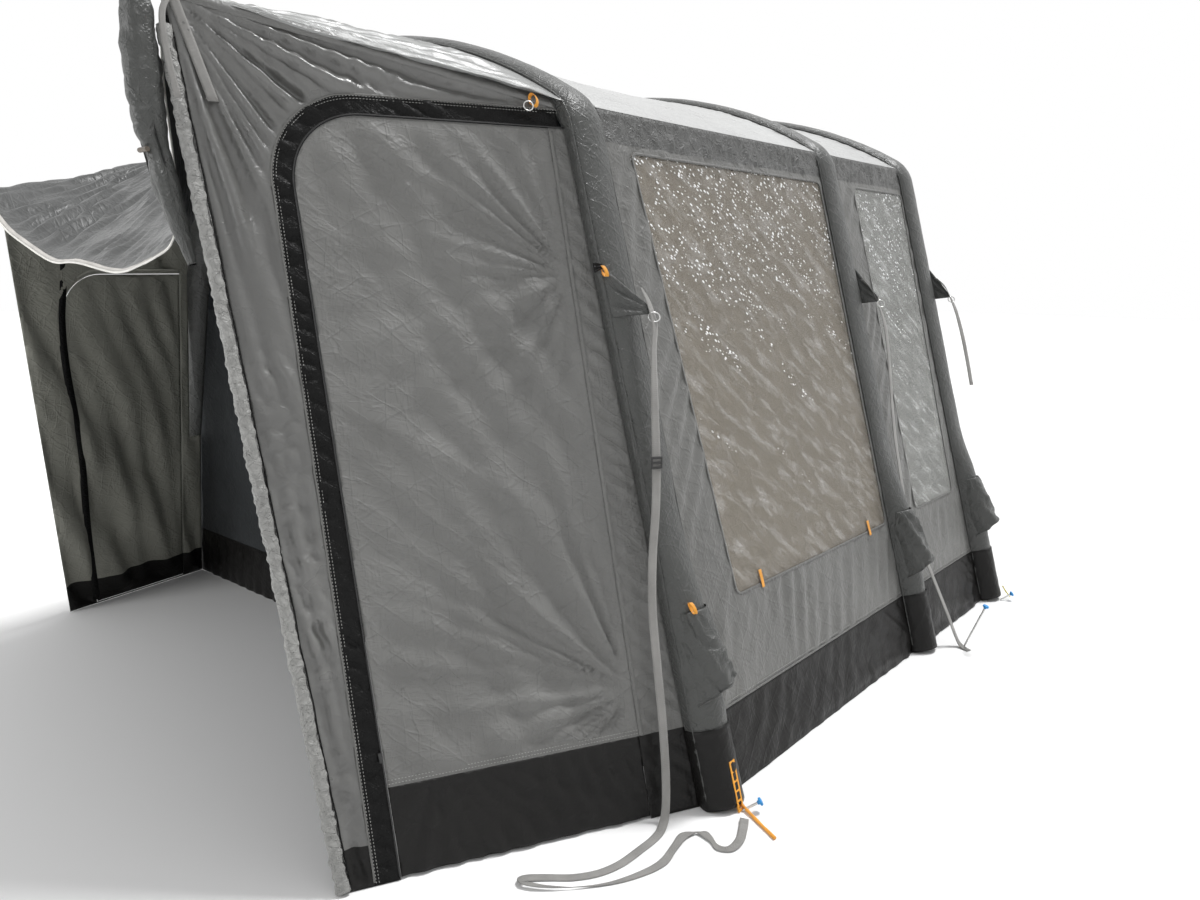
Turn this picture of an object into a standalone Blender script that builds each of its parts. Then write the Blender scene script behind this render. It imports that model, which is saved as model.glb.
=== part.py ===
"""An inflatable drive-away awning: a room on three air-beam arches, with a tunnel at its van end.

X runs across the room towards the side wall with the long window, Y from the van end to the front,
and Z up. The origin lies on the ground, in the middle of the whole awning.
"""

import math

import bmesh
import bpy
from mathutils import Matrix, Vector

MM = 0.001

# Arches
ARCH_HALF_SPAN = 1.084
EAVE_HEIGHT = 1.95
CROWN_HEIGHT = 2.24
LEG_OFFSET = 0.543
KNEE_RADIUS = 0.14
KNEE_CLEARANCE = 16 * MM
LONG_BAY = 1.45
SHORT_BAY = 0.78
BEAM_RADIUS = 62 * MM
BEAM_WALL = 1 * MM
SLEEVE_WALL = 2 * MM
TUBE_RESOLUTION = 4
ROOF_STEPS = 9
KNEE_STEPS = 3

# Cloth and clearances
FABRIC = 3 * MM
PANE = 1 * MM
GAP = 0.3 * MM
SEAM_GAP = 2 * MM
GROUND_LIFT = 0.6 * MM
ROOF_SAG = 18 * MM
OVERRUN = 60 * MM

# Side walls
MUD_HEIGHT = 0.225
WINDOW_SILL = 0.515
WINDOW_HEAD_DROP = 0.12
WINDOW_CORNER = 25 * MM
LONG_WINDOW_REAR_HEAD = 0.19
LONG_WINDOW_REAR_SILL = 0.285
LONG_WINDOW_FRONT = 0.085
SHORT_WINDOW_REAR = 0.22
SHORT_WINDOW_FRONT_HEAD = 0.083
SHORT_WINDOW_FRONT_SILL = 0.15
BLIND_LAP = 35 * MM
BLIND_THICKNESS = 1 * MM

# Front wall and partition
FRONT_DOOR_WIDTH = 0.90
FRONT_DOOR_DROP = 0.17
FRONT_DOOR_RADIUS = 0.20
FRONT_WINDOW_WIDTH = 0.52
FRONT_WINDOW_INSET = 0.13
PARTITION_DOOR_WIDTH = 1.43
PARTITION_DOOR_DROP = 0.13
PARTITION_DOOR_RADIUS = 0.12

# Near tunnel wall, in distance along the ground from the rear arch's leg and height
TUNNEL_DEPTH = 0.924
TUNNEL_DRAW_IN = 0.464
HELD_CORNER_RISE = 0.20
ROOF_SEAM_DROP = 8 * MM
DOOR_FOOT_INSET = 0.124
DOOR_SHOULDER_INSET = 0.21
DOOR_DROP = 0.07
DOOR_RADIUS = 0.20
DOOR_LIFT = 8 * MM
HINGE_FOOT = 0.22
HINGE_HEAD = 0.115
ZIP_BAND = 52 * MM
EDGE_PAD_RADIUS = 15 * MM
EDGE_PAD_DROP = 80 * MM

# Far tunnel wall, which leans less and ends lower
FAR_INSET = 0.164
FAR_DEPTH = 0.66
FAR_DRAW_IN = 0.13
FAR_LEAN_SHARE = 0.15
FAR_CORNER_DROP = 0.19
FAR_CORNER_REACH = 0.855
FAR_EDGE_FOOT = 0.672
FAR_STEP_HEIGHT = 0.70
FAR_EAVE_DROP = 0.09
FAR_HINGE = 0.11
FAR_DOOR_FOOT = 0.55
FAR_DOOR_SHOULDER = 0.64
FAR_DOOR_DROP = 0.30
FAR_DOOR_RADIUS = 0.16

# Tunnel roof, whose fabric fans out from the held corner and hangs from there to the far corner
FAN_SHARE = 0.40
KADOR_RADIUS = 3 * MM
ROOF_COLUMNS = 44
ROOF_ROWS = 8
FAN_FOLDS = 5
FAN_FOLD_DEPTH = 9 * MM
DRAPE_FOLDS = 4
DRAPE_FOLD_DEPTH = 22 * MM
DRAPE_SAG = 45 * MM

# The held corner: its hanging strap and ring, and the flap that is rolled up there
CORNER_STRAP_INSET = 62 * MM
CORNER_STRAP_DROP = 0.262
CORNER_STRAP_SHARES = ((1.0, -1.0), (0.71, -0.61), (0.42, -0.23), (0.23, 0.04), (0.16, 0.23))
FLAP_LENGTH = 0.65
FLAP_RADIUS = 46 * MM
FLAP_STAND = 68.4 * MM
FLAP_SWING = 0.132
TOGGLE_STEPS = 4
TOGGLE_RADIUS = 6 * MM
TOGGLE_LENGTH = 42 * MM
# Points of the rolled flap: how far it swings out, stands off, rises and how fat it is there
ROLLED_FLAP_SHARES = (
    (0.00, 0.90, 0.03, 0.48),
    (0.03, 1.00, -0.09, 0.85),
    (0.11, 1.00, -0.31, 1.00),
    (0.21, 1.00, -0.51, 0.87),
    (0.35, 0.93, -0.59, 0.61),
    (0.50, 0.93, -0.69, 0.72),
    (0.76, 0.76, -0.86, 0.52),
    (1.00, 0.61, -1.00, 0.22),
)

# Valves, caps and the hoods over them
VALVE_HEIGHT = 0.44
VALVE_RADIUS = 14 * MM
VALVE_BORE = 8 * MM
VALVE_CLEARANCE = 1.5 * MM
VALVE_STAND = 9 * MM
VALVE_ROOT = 0.5 * BEAM_RADIUS
CAP_RADIUS = 19 * MM
CAP_THICKNESS = 10 * MM
CAP_EDGE = 2 * MM
HOOD_WIDTH = 0.155
HOOD_TOP = 0.555
HOOD_BOTTOM = 0.275
HOOD_STAND = 0.045
HOOD_WALL = 2.5 * MM
HOOD_BACK = 8 * MM

# Pegs, straps and small fittings
PEG_RADIUS = 3.5 * MM
PEG_HEAD_RADIUS = 12 * MM
PEG_HEAD_THICKNESS = 9 * MM
PEG_CROWN_SHARE = 0.7
PEG_ROUND_SHARE = 0.4
PEG_NECK_SHARE = 1.6
PEG_STAND = 62 * MM
PEG_SEAT = 1.4 * MM
PEG_LEAN_SHARES = (0.66, 0.56, 0.50)
STRAP_PEG_LENGTH = 0.20
STRAP_PEG_ALONG = 126.5 * MM
STRAP_PEG_OUT = 0.133
STRAP_PEG_LEAN_SHARES = (0.34, 0.06, 0.94)
LADDER_WIDTH = 26 * MM
LADDER_LENGTH = 0.145
LADDER_THICKNESS = 4 * MM
LADDER_RAIL = 6 * MM
LADDER_SLOTS = 5
WEBBING_WIDTH = 25 * MM
WEBBING_THICKNESS = 2 * MM
SLIDER_STEPS = 5
BUCKLE_LENGTH = 34 * MM
BUCKLE_WIDTH = 33 * MM
BUCKLE_THICKNESS = 3 * MM
BUCKLE_STAND = 1.2 * MM
RING_RADIUS = 20 * MM
RING_WIRE = 2.5 * MM
ZIP_SLIDER_LENGTH = 26 * MM
ZIP_SLIDER_WIDTH = 11 * MM
ZIP_SLIDER_THICKNESS = 7 * MM
ZIP_SLIDER_HEIGHT = 0.30
ZIP_SLIDER_TAPER_SHARE = 0.6
ZIP_SLIDER_EDGE_SHARE = 0.2

# Values worked out from those above
SLEEVE_RADIUS = BEAM_RADIUS + GAP + SLEEVE_WALL
BEAM_FOOT_LIFT = GROUND_LIFT + SLEEVE_WALL + GAP
FOOT_X = ARCH_HALF_SPAN + LEG_OFFSET
ROOF_RISE = CROWN_HEIGHT - EAVE_HEIGHT
ROOF_RADIUS = (ARCH_HALF_SPAN**2 + ROOF_RISE**2) / (2 * ROOF_RISE)
ROOF_HALF_ANGLE = math.asin(ARCH_HALF_SPAN / ROOF_RADIUS)
LEAN_ANGLE = math.atan2(LEG_OFFSET, EAVE_HEIGHT)
SLEEVE_CLEAR = SLEEVE_RADIUS + GAP
FRONT_REACH = LONG_BAY + SHORT_BAY + HOOD_WIDTH / 2
REAR_REACH = TUNNEL_DEPTH + FLAP_STAND + FLAP_RADIUS
REAR_ARCH_Y = (REAR_REACH - FRONT_REACH) / 2
MIDDLE_ARCH_Y = REAR_ARCH_Y + LONG_BAY
FRONT_ARCH_Y = MIDDLE_ARCH_Y + SHORT_BAY
ARCHES = {"rear": REAR_ARCH_Y, "middle": MIDDLE_ARCH_Y, "front": FRONT_ARCH_Y}
SIDES = {"near": 1, "far": -1}
WINDOW_HEAD = EAVE_HEIGHT - WINDOW_HEAD_DROP
FRONT_DOOR_TOP = EAVE_HEIGHT - FRONT_DOOR_DROP
PARTITION_DOOR_TOP = EAVE_HEIGHT - PARTITION_DOOR_DROP
HELD_CORNER_HEIGHT = EAVE_HEIGHT + HELD_CORNER_RISE
DOOR_TOP = EAVE_HEIGHT - DOOR_DROP
TUNNEL_LENGTH = math.hypot(TUNNEL_DRAW_IN, TUNNEL_DEPTH)
DOOR_FOOT = TUNNEL_LENGTH - DOOR_FOOT_INSET
DOOR_SHOULDER = TUNNEL_LENGTH - DOOR_SHOULDER_INSET
FAR_CORNER_HEIGHT = EAVE_HEIGHT - FAR_CORNER_DROP
FAR_EAVE_HEIGHT = EAVE_HEIGHT - FAR_EAVE_DROP
FAR_DOOR_TOP = FAR_CORNER_HEIGHT - FAR_DOOR_DROP


def new_collection(name):
    collection = bpy.data.collections.new(name)
    bpy.context.scene.collection.children.link(collection)
    return collection


def new_material(name, colour, roughness, metallic=0.0, alpha=1.0):
    material = bpy.data.materials.new(name)
    material.use_nodes = True
    shader = material.node_tree.nodes["Principled BSDF"]
    shader.inputs["Base Color"].default_value = (*colour, 1.0)
    shader.inputs["Roughness"].default_value = roughness
    shader.inputs["Metallic"].default_value = metallic
    shader.inputs["Alpha"].default_value = alpha
    material.diffuse_color = (*colour, alpha)
    return material


def add_object(name, data, material, collection=None):
    """Links an object that carries its own material."""
    thing = bpy.data.objects.new(name, data)
    (collection or AWNING).objects.link(thing)
    if material is not None:
        data.materials.clear()
        data.materials.append(material)
    return thing


def mesh_from(bm, name):
    mesh = bpy.data.meshes.new(name)
    bm.to_mesh(mesh)
    bm.free()
    return mesh


def smooth(thing, degrees=40):
    thing.data.shade_smooth()
    thing.data.set_sharp_from_angle(angle=math.radians(degrees))


def round_corner(before, corner, after, radius, steps):
    """The points of an arc of this radius that replaces a corner of a line through three points."""
    back = (before - corner).normalized()
    ahead = (after - corner).normalized()
    half = back.angle(ahead) / 2
    reach = radius / math.tan(half)
    centre = corner + (back + ahead).normalized() * radius / math.sin(half)
    first = corner + back * reach - centre
    last = corner + ahead * reach - centre
    return [centre + first.slerp(last, step / steps).normalized() * radius for step in range(steps + 1)]


def rounded_outline(corners, radius, steps=3):
    points = []
    for index, corner in enumerate(corners):
        after = corners[(index + 1) % len(corners)]
        points += round_corner(corners[index - 1], corner, after, radius, steps)
    return points


def flat_sheet(name, outlines, thickness, material):
    """A flat piece of even thickness: its first outline bounds it, and any others are holes in it."""
    origin = outlines[0][0]
    normal = Vector((0, 0, 0))
    for index, point in enumerate(outlines[0]):
        normal += (outlines[0][index - 1] - origin).cross(point - origin)
    normal.normalize()
    along = (outlines[0][1] - origin).normalized()
    across = normal.cross(along)
    curve = bpy.data.curves.new(name, "CURVE")
    curve.dimensions = "2D"
    curve.fill_mode = "BOTH"
    curve.extrude = thickness / 2
    for outline in outlines:
        spline = curve.splines.new("POLY")
        spline.points.add(len(outline) - 1)
        for spot, point in zip(spline.points, outline):
            offset = point - origin
            spot.co = (offset.dot(along), offset.dot(across), 0, 1)
        spline.use_cyclic_u = True
    sheet = add_object(name, curve, material)
    sheet.matrix_world = Matrix.Translation(origin) @ Matrix((along, across, normal)).transposed().to_4x4()
    return sheet


def round_tube(name, points, radius, resolution, caps, material=None, collection=None):
    """A tube along a line of points, as a curve object."""
    curve = bpy.data.curves.new(name, "CURVE")
    curve.dimensions = "3D"
    curve.bevel_depth = radius
    curve.bevel_resolution = resolution
    curve.use_fill_caps = caps
    spline = curve.splines.new("POLY")
    spline.points.add(len(points) - 1)
    for spot, point in zip(spline.points, points):
        spot.co = (*point, 1)
    return add_object(name, curve, material, collection)


def mesh_of(thing):
    """The evaluated mesh of an object, which is then removed."""
    bpy.context.view_layer.update()
    graph = bpy.context.evaluated_depsgraph_get()
    mesh = bpy.data.meshes.new_from_object(thing.evaluated_get(graph))
    mesh.transform(thing.matrix_world)
    bpy.data.objects.remove(thing)
    return mesh


def add_solidify(thing, thickness, offset=0.0):
    modifier = thing.modifiers.new("Thickness", "SOLIDIFY")
    modifier.thickness = thickness
    modifier.offset = offset
    modifier.use_even_offset = True


def add_boolean(thing, other, operation):
    modifier = thing.modifiers.new(operation.title(), "BOOLEAN")
    modifier.operation = operation
    modifier.solver = "EXACT"
    modifier.object = other


def leg_point(side, y, height, outward=0.0):
    """A point on a leg's centre line, or on a side wall, moved outwards square to the wall."""
    x = FOOT_X - LEG_OFFSET * height / EAVE_HEIGHT + outward * math.cos(LEAN_ANGLE)
    return Vector((side * x, y, height + outward * math.sin(LEAN_ANGLE)))


def roof_point(angle, y, outward=0.0):
    """A point on the roof's arc, where an angle of zero is the crown."""
    radius = ROOF_RADIUS + outward
    return Vector((radius * math.sin(angle), y, CROWN_HEIGHT - ROOF_RADIUS + radius * math.cos(angle)))


def arch_line(y):
    """The centre line of an arch from below the near foot to below the far one."""
    near = [leg_point(1, y, -OVERRUN)]
    arc = [
        roof_point(ROOF_HALF_ANGLE * (1 - 2 * step / ROOF_STEPS), y) for step in range(1, ROOF_STEPS)
    ]
    eave = leg_point(1, y, EAVE_HEIGHT)
    near += round_corner(near[0], eave, arc[0], KNEE_RADIUS, KNEE_STEPS)
    far = [Vector((-point.x, point.y, point.z)) for point in reversed(near)]
    return near + arc + far


def open_tube(points, radius):
    guide = round_tube("tube_guide", points, radius, TUBE_RESOLUTION, False)
    return mesh_of(guide)


def outward_frame(side, y, height, outward=0.0):
    """A frame on a leg whose Z axis points out of the side wall and whose Y axis climbs the leg."""
    out = Vector((side * math.cos(LEAN_ANGLE), 0, math.sin(LEAN_ANGLE)))
    up = Vector((-side * math.sin(LEAN_ANGLE), 0, math.cos(LEAN_ANGLE)))
    turn = Matrix((up.cross(out), up, out)).transposed().to_4x4()
    return Matrix.Translation(leg_point(side, y, height, outward)) @ turn


def cylinder(radius, low, high, sides=20):
    """A mesh cylinder along Z between two levels, with flats where the axes cross its side."""
    bm = bmesh.new()
    turn = Matrix.Rotation(math.pi / sides, 4, "Z")
    bmesh.ops.create_cone(
        bm,
        cap_ends=True,
        segments=sides,
        radius1=radius,
        radius2=radius,
        depth=high - low,
        matrix=turn,
    )
    bmesh.ops.translate(bm, verts=bm.verts, vec=(0, 0, (low + high) / 2))
    return bm


def add_cutter(name, bm, matrix):
    cutter = add_object(name, mesh_from(bm, name), None, CUTTERS)
    cutter.matrix_world = matrix
    cutter.hide_render = True
    cutter.display_type = "WIRE"
    return cutter


def cut_at_level(bm, level):
    """Takes off all that lies below a level."""
    bmesh.ops.bisect_plane(
        bm,
        geom=bm.verts[:] + bm.edges[:] + bm.faces[:],
        plane_co=(0, 0, level),
        plane_no=(0, 0, -1),
        clear_outer=True,
    )


def make_beam(name, y):
    """An air beam: a welded tube with closed ends, and its inflation valve on the near leg."""
    bm = bmesh.new()
    bm.from_mesh(open_tube(arch_line(y), BEAM_RADIUS))
    cut_at_level(bm, BEAM_FOOT_LIFT)
    bmesh.ops.holes_fill(bm, edges=[edge for edge in bm.edges if edge.is_boundary], sides=0)
    bmesh.ops.recalc_face_normals(bm, faces=bm.faces)
    beam = add_object("air_beam_" + name, mesh_from(bm, "air_beam_" + name), BEAM_FILM)
    add_solidify(beam, BEAM_WALL, -1.0)
    frame = outward_frame(1, y, VALVE_HEIGHT)
    stem = cylinder(VALVE_RADIUS, VALVE_ROOT, SLEEVE_RADIUS + VALVE_STAND)
    add_boolean(beam, add_cutter("valve_" + name, stem, frame), "UNION")
    bore = cylinder(VALVE_BORE, VALVE_ROOT - OVERRUN / 4, SLEEVE_RADIUS + OVERRUN)
    add_boolean(beam, add_cutter("valve_bore_" + name, bore, frame), "DIFFERENCE")
    smooth(beam)


def make_sleeve(name, y):
    """The fabric sleeve round an air beam, with a flat foot at each end and a hole for the valve."""
    bm = bmesh.new()
    bm.from_mesh(open_tube(arch_line(y), SLEEVE_RADIUS))
    cut_at_level(bm, GROUND_LIFT)
    bmesh.ops.holes_fill(bm, edges=[edge for edge in bm.edges if edge.is_boundary], sides=0)
    bmesh.ops.recalc_face_normals(bm, faces=bm.faces)
    sleeve = add_object("beam_sleeve_" + name, mesh_from(bm, "beam_sleeve_" + name), SLEEVE_CLOTH)
    add_solidify(sleeve, SLEEVE_WALL, -1.0)
    hole = add_cutter(
        "valve_hole_" + name,
        cylinder(VALVE_RADIUS + VALVE_CLEARANCE, VALVE_ROOT, SLEEVE_RADIUS + OVERRUN),
        outward_frame(1, y, VALVE_HEIGHT),
    )
    add_boolean(sleeve, hole, "DIFFERENCE")
    smooth(sleeve)


def make_cap(name, y):
    """The screw cap of a valve, which turns about the valve's axis."""
    bm = cylinder(CAP_RADIUS, 0, CAP_THICKNESS)
    cap = add_object("valve_cap_" + name, mesh_from(bm, "valve_cap_" + name), CAP_PLASTIC)
    cap.matrix_world = outward_frame(1, y, VALVE_HEIGHT, SLEEVE_RADIUS + VALVE_STAND + GAP)
    bevel = cap.modifiers.new("Edge", "BEVEL")
    bevel.width = CAP_EDGE
    bevel.segments = 2


def make_hood(name, y):
    """A fabric hood over a valve: open below and behind, it lifts about its top edge."""
    stand = SLEEVE_RADIUS + VALVE_STAND + CAP_THICKNESS
    drop = (HOOD_TOP - HOOD_BOTTOM) / math.cos(LEAN_ANGLE)
    top = SLEEVE_RADIUS + HOOD_WALL
    bm = bmesh.new()
    profile = ((0, HOOD_BACK), (0, top), (-drop, stand + HOOD_STAND), (-drop, HOOD_BACK))
    verts = [bm.verts.new((-HOOD_WIDTH / 2, up, out)) for up, out in profile]
    cheek = bm.faces.new(verts)
    grown = bmesh.ops.extrude_face_region(bm, geom=[cheek])["geom"]
    moved = [item for item in grown if isinstance(item, bmesh.types.BMVert)]
    bmesh.ops.translate(bm, verts=moved, vec=(HOOD_WIDTH, 0, 0))
    bmesh.ops.recalc_face_normals(bm, faces=bm.faces)
    inner = [
        face
        for face in bm.faces
        if all(abs(vert.co.z - HOOD_BACK) < GAP for vert in face.verts)
        or all(abs(vert.co.y + drop) < GAP for vert in face.verts)
    ]
    bmesh.ops.delete(bm, geom=inner, context="FACES")
    top_faces = [face for face in bm.faces if all(abs(vert.co.y) < GAP for vert in face.verts)]
    for face in top_faces:
        for vert in face.verts:
            if abs(vert.co.z - HOOD_BACK) < GAP:
                vert.co.z = SLEEVE_RADIUS + GAP
    hood = add_object("valve_hood_" + name, mesh_from(bm, "valve_hood_" + name), SLEEVE_CLOTH)
    hood.matrix_world = outward_frame(1, y, HOOD_TOP)
    add_solidify(hood, HOOD_WALL, -1.0)


def arched_panel(name, y_start, y_end, material):
    """A roof panel of one bay, which sags a little between its arches."""
    rows = 4
    reach = ROOF_HALF_ANGLE - FABRIC / ROOF_RADIUS
    columns = 2 * ROOF_STEPS
    bm = bmesh.new()
    lines = []
    for row in range(rows + 1):
        share = row / rows
        y = y_start + (y_end - y_start) * share
        drop = -4 * ROOF_SAG * share * (1 - share)
        line = [
            bm.verts.new(roof_point(reach * (2 * step / columns - 1), y, drop))
            for step in range(columns + 1)
        ]
        lines.append(line)
    for line in lines:
        for first, second in zip(line, line[1:]):
            bm.edges.new((first, second))
    for first, second in zip(lines, lines[1:]):
        edges = [bm.edges.get(pair) for line in (first, second) for pair in zip(line, line[1:])]
        bmesh.ops.bridge_loops(bm, edges=edges)
    bmesh.ops.recalc_face_normals(bm, faces=bm.faces)
    panel = add_object(name, mesh_from(bm, name), material)
    add_solidify(panel, FABRIC)
    smooth(panel)


def side_outline(side, corners):
    return [leg_point(side, y, height) for y, height in corners]


def make_side_wall(side_name, bay_name, y_start, y_end, margins):
    """A side wall with its window and, on the near side, a mud band of its own."""
    side = SIDES[side_name]
    rear_head, rear_sill, front_head, front_sill = margins
    rear = y_start + SLEEVE_CLEAR
    front = y_end - SLEEVE_CLEAR
    has_band = side_name == "near"
    foot = MUD_HEIGHT + GAP if has_band else GROUND_LIFT
    top = EAVE_HEIGHT - FABRIC
    wall = side_outline(side, ((rear, foot), (front, foot), (front, top), (rear, top)))
    corners = (
        (y_start + rear_sill, WINDOW_SILL),
        (y_end - front_sill, WINDOW_SILL),
        (y_end - front_head, WINDOW_HEAD),
        (y_start + rear_head, WINDOW_HEAD),
    )
    hole = rounded_outline(side_outline(side, corners), WINDOW_CORNER)
    tag = f"{side_name}_{bay_name}"
    flat_sheet("side_wall_" + tag, [wall, hole], FABRIC, WALL_CLOTH)
    inset = (
        (y_start + rear_sill + GAP, WINDOW_SILL + GAP),
        (y_end - front_sill - GAP, WINDOW_SILL + GAP),
        (y_end - front_head - GAP, WINDOW_HEAD - GAP),
        (y_start + rear_head + GAP, WINDOW_HEAD - GAP),
    )
    pane = rounded_outline(side_outline(side, inset), WINDOW_CORNER)
    flat_sheet("side_window_" + tag, [pane], PANE, CLEAR_FILM)
    if has_band:
        band = ((rear, GROUND_LIFT), (front, GROUND_LIFT), (front, MUD_HEIGHT), (rear, MUD_HEIGHT))
        flat_sheet("mud_band_" + tag, [side_outline(side, band)], FABRIC, MUD_CLOTH)


def make_blind():
    """The blind that hangs inside the long window of the near side wall."""
    inward = -(FABRIC / 2 + GAP + BLIND_THICKNESS / 2)
    rear_sill = REAR_ARCH_Y + LONG_WINDOW_REAR_SILL - BLIND_LAP
    rear_head = REAR_ARCH_Y + LONG_WINDOW_REAR_HEAD - BLIND_LAP
    front = MIDDLE_ARCH_Y - SLEEVE_CLEAR - GAP
    corners = (
        (rear_sill, WINDOW_SILL - BLIND_LAP),
        (front, WINDOW_SILL - BLIND_LAP),
        (front, WINDOW_HEAD + BLIND_LAP),
        (rear_head, WINDOW_HEAD + BLIND_LAP),
    )
    outline = [leg_point(1, y, height, inward) for y, height in corners]
    flat_sheet("window_blind_near_long", [outline], BLIND_THICKNESS, BLIND_CLOTH)


def inside_arch(y, foot):
    """The outline of a wall that fills an arch, from a level above the ground up."""
    line = arch_line(y)
    inner = []
    for before, point, after in zip(line, line[1:], line[2:]):
        back = (before - point).normalized()
        ahead = (after - point).normalized()
        inward = (back + ahead).normalized()
        inner.append(point + inward * SLEEVE_CLEAR / math.sin(back.angle(ahead) / 2))
    x = FOOT_X - LEG_OFFSET * foot / EAVE_HEIGHT - SLEEVE_CLEAR / math.cos(LEAN_ANGLE)
    return [Vector((x, y, foot)), *inner, Vector((-x, y, foot))]


def upright_outline(y, x_low, x_high, z_low, z_high):
    return [
        Vector((x_low, y, z_low)),
        Vector((x_high, y, z_low)),
        Vector((x_high, y, z_high)),
        Vector((x_low, y, z_high)),
    ]


def door_hole(y, width, top, radius, grow):
    """A doorway or its door, square at the sill and rounded at the head."""
    sill = MUD_HEIGHT + SEAM_GAP - grow
    corners = upright_outline(y, -width / 2 - grow, width / 2 + grow, sill, top + grow)
    points = corners[:2]
    points += round_corner(corners[1], corners[2], corners[3], radius, 5)
    points += round_corner(corners[2], corners[3], corners[0], radius, 5)
    return points


def hung_door(y, width, top, radius):
    """A door in its doorway, close to the seam that it folds along on the near side."""
    shift = Vector((SEAM_GAP - GAP, 0, 0))
    return [point + shift for point in door_hole(y, width, top, radius, 0)]


def make_end_walls():
    """The front wall and the partition, each with a sill of mud cloth and a door above it."""
    y = FRONT_ARCH_Y
    windows = []
    for side in SIDES.values():
        inner = side * (FRONT_DOOR_WIDTH / 2 + FRONT_WINDOW_INSET)
        outer = side * (FRONT_DOOR_WIDTH / 2 + FRONT_WINDOW_INSET + FRONT_WINDOW_WIDTH)
        lean = side * LEG_OFFSET * (WINDOW_HEAD - WINDOW_SILL) / EAVE_HEIGHT
        windows.append((inner, outer, outer - lean))
    holes = [door_hole(y, FRONT_DOOR_WIDTH, FRONT_DOOR_TOP, FRONT_DOOR_RADIUS, SEAM_GAP)]
    for (inner, foot, head), name in zip(windows, SIDES):
        corners = [
            Vector((inner, y, WINDOW_SILL)),
            Vector((foot, y, WINDOW_SILL)),
            Vector((head, y, WINDOW_HEAD - FRONT_WINDOW_INSET)),
            Vector((inner, y, WINDOW_HEAD - FRONT_WINDOW_INSET)),
        ]
        holes.append(rounded_outline(corners, WINDOW_CORNER))
        middle = sum(corners, Vector()) / len(corners)
        pane = [point + (middle - point).normalized() * GAP * 2 for point in holes[-1]]
        flat_sheet("front_window_" + name, [pane], PANE, CLEAR_FILM)
    make_end_wall("front", y, holes)
    door = hung_door(y, FRONT_DOOR_WIDTH, FRONT_DOOR_TOP, FRONT_DOOR_RADIUS)
    flat_sheet("front_door", [door], FABRIC, WALL_CLOTH)
    y = REAR_ARCH_Y
    hole = door_hole(y, PARTITION_DOOR_WIDTH, PARTITION_DOOR_TOP, PARTITION_DOOR_RADIUS, SEAM_GAP)
    make_end_wall("partition", y, [hole])
    door = hung_door(y, PARTITION_DOOR_WIDTH, PARTITION_DOOR_TOP, PARTITION_DOOR_RADIUS)
    flat_sheet("partition_door", [door], FABRIC, INNER_CLOTH)


def make_end_wall(name, y, holes):
    cloth = WALL_CLOTH if name == "front" else INNER_CLOTH
    band_top = MUD_HEIGHT - SEAM_GAP
    flat_sheet(name + "_wall", [inside_arch(y, band_top + GAP), *holes], FABRIC, cloth)
    band = [
        Vector((side * (leg_point(1, y, height).x - SLEEVE_CLEAR / math.cos(LEAN_ANGLE)), y, height))
        for side, height in ((-1, GROUND_LIFT), (1, GROUND_LIFT), (1, band_top), (-1, band_top))
    ]
    flat_sheet(name + "_mud_band", [band], FABRIC, MUD_CLOTH)


def near_tunnel(distance, height, outward=0.0):
    """A point of the near tunnel wall, which leans with the rear arch's leg."""
    along = Vector((-TUNNEL_DRAW_IN, -TUNNEL_DEPTH, 0)).normalized()
    lean = Vector((-LEG_OFFSET / EAVE_HEIGHT, 0, 1))
    out = lean.cross(along).normalized()
    if out.x < 0:
        out.negate()
    return Vector((FOOT_X, REAR_ARCH_Y, 0)) + along * distance + lean * height + out * outward


def far_tunnel(distance, height, outward=0.0):
    """A point of the far tunnel wall, slack and more upright."""
    along = Vector((FAR_DRAW_IN, -FAR_DEPTH, 0)).normalized()
    lean = Vector((FAR_LEAN_SHARE, 0, 1))
    out = lean.cross(along).normalized()
    if out.x > 0:
        out.negate()
    return Vector((-FOOT_X + FAR_INSET, REAR_ARCH_Y, 0)) + along * distance + lean * height + out * outward


def far_clear(reach):
    """How far along the far tunnel wall it is clear of something that reaches this far from the arch."""
    length = math.hypot(FAR_DRAW_IN, FAR_DEPTH)
    return (reach * length + FABRIC / 2 * FAR_DRAW_IN) / FAR_DEPTH


def near_clear():
    """How far along the near tunnel wall the sleeve of the leg reaches."""
    along = Vector((-TUNNEL_DRAW_IN, -TUNNEL_DEPTH, 0)).normalized()
    leg = (leg_point(1, 0, EAVE_HEIGHT) - leg_point(1, 0, 0)).normalized()
    return (SLEEVE_RADIUS + GAP / 2) / math.sqrt(1 - along.dot(leg) ** 2)


def hinge_distance(height):
    return HINGE_FOOT + (HINGE_HEAD - HINGE_FOOT) * height / DOOR_TOP


def door_edge_distance(height):
    return DOOR_FOOT + (DOOR_SHOULDER - DOOR_FOOT) * height / (DOOR_TOP - DOOR_RADIUS)


def near_door_edge(grow, low=0.0):
    """The D-shaped edge of the near door, from its foot up and over to its head, as distance and height."""
    points = [(door_edge_distance(low) + grow, low)]
    centre_distance = DOOR_SHOULDER - DOOR_RADIUS
    centre_height = DOOR_TOP - DOOR_RADIUS
    steps = 8
    for step in range(steps + 1):
        angle = math.pi / 2 * step / steps
        reach = DOOR_RADIUS + grow
        points.append((centre_distance + reach * math.cos(angle), centre_height + reach * math.sin(angle)))
    return points


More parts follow.
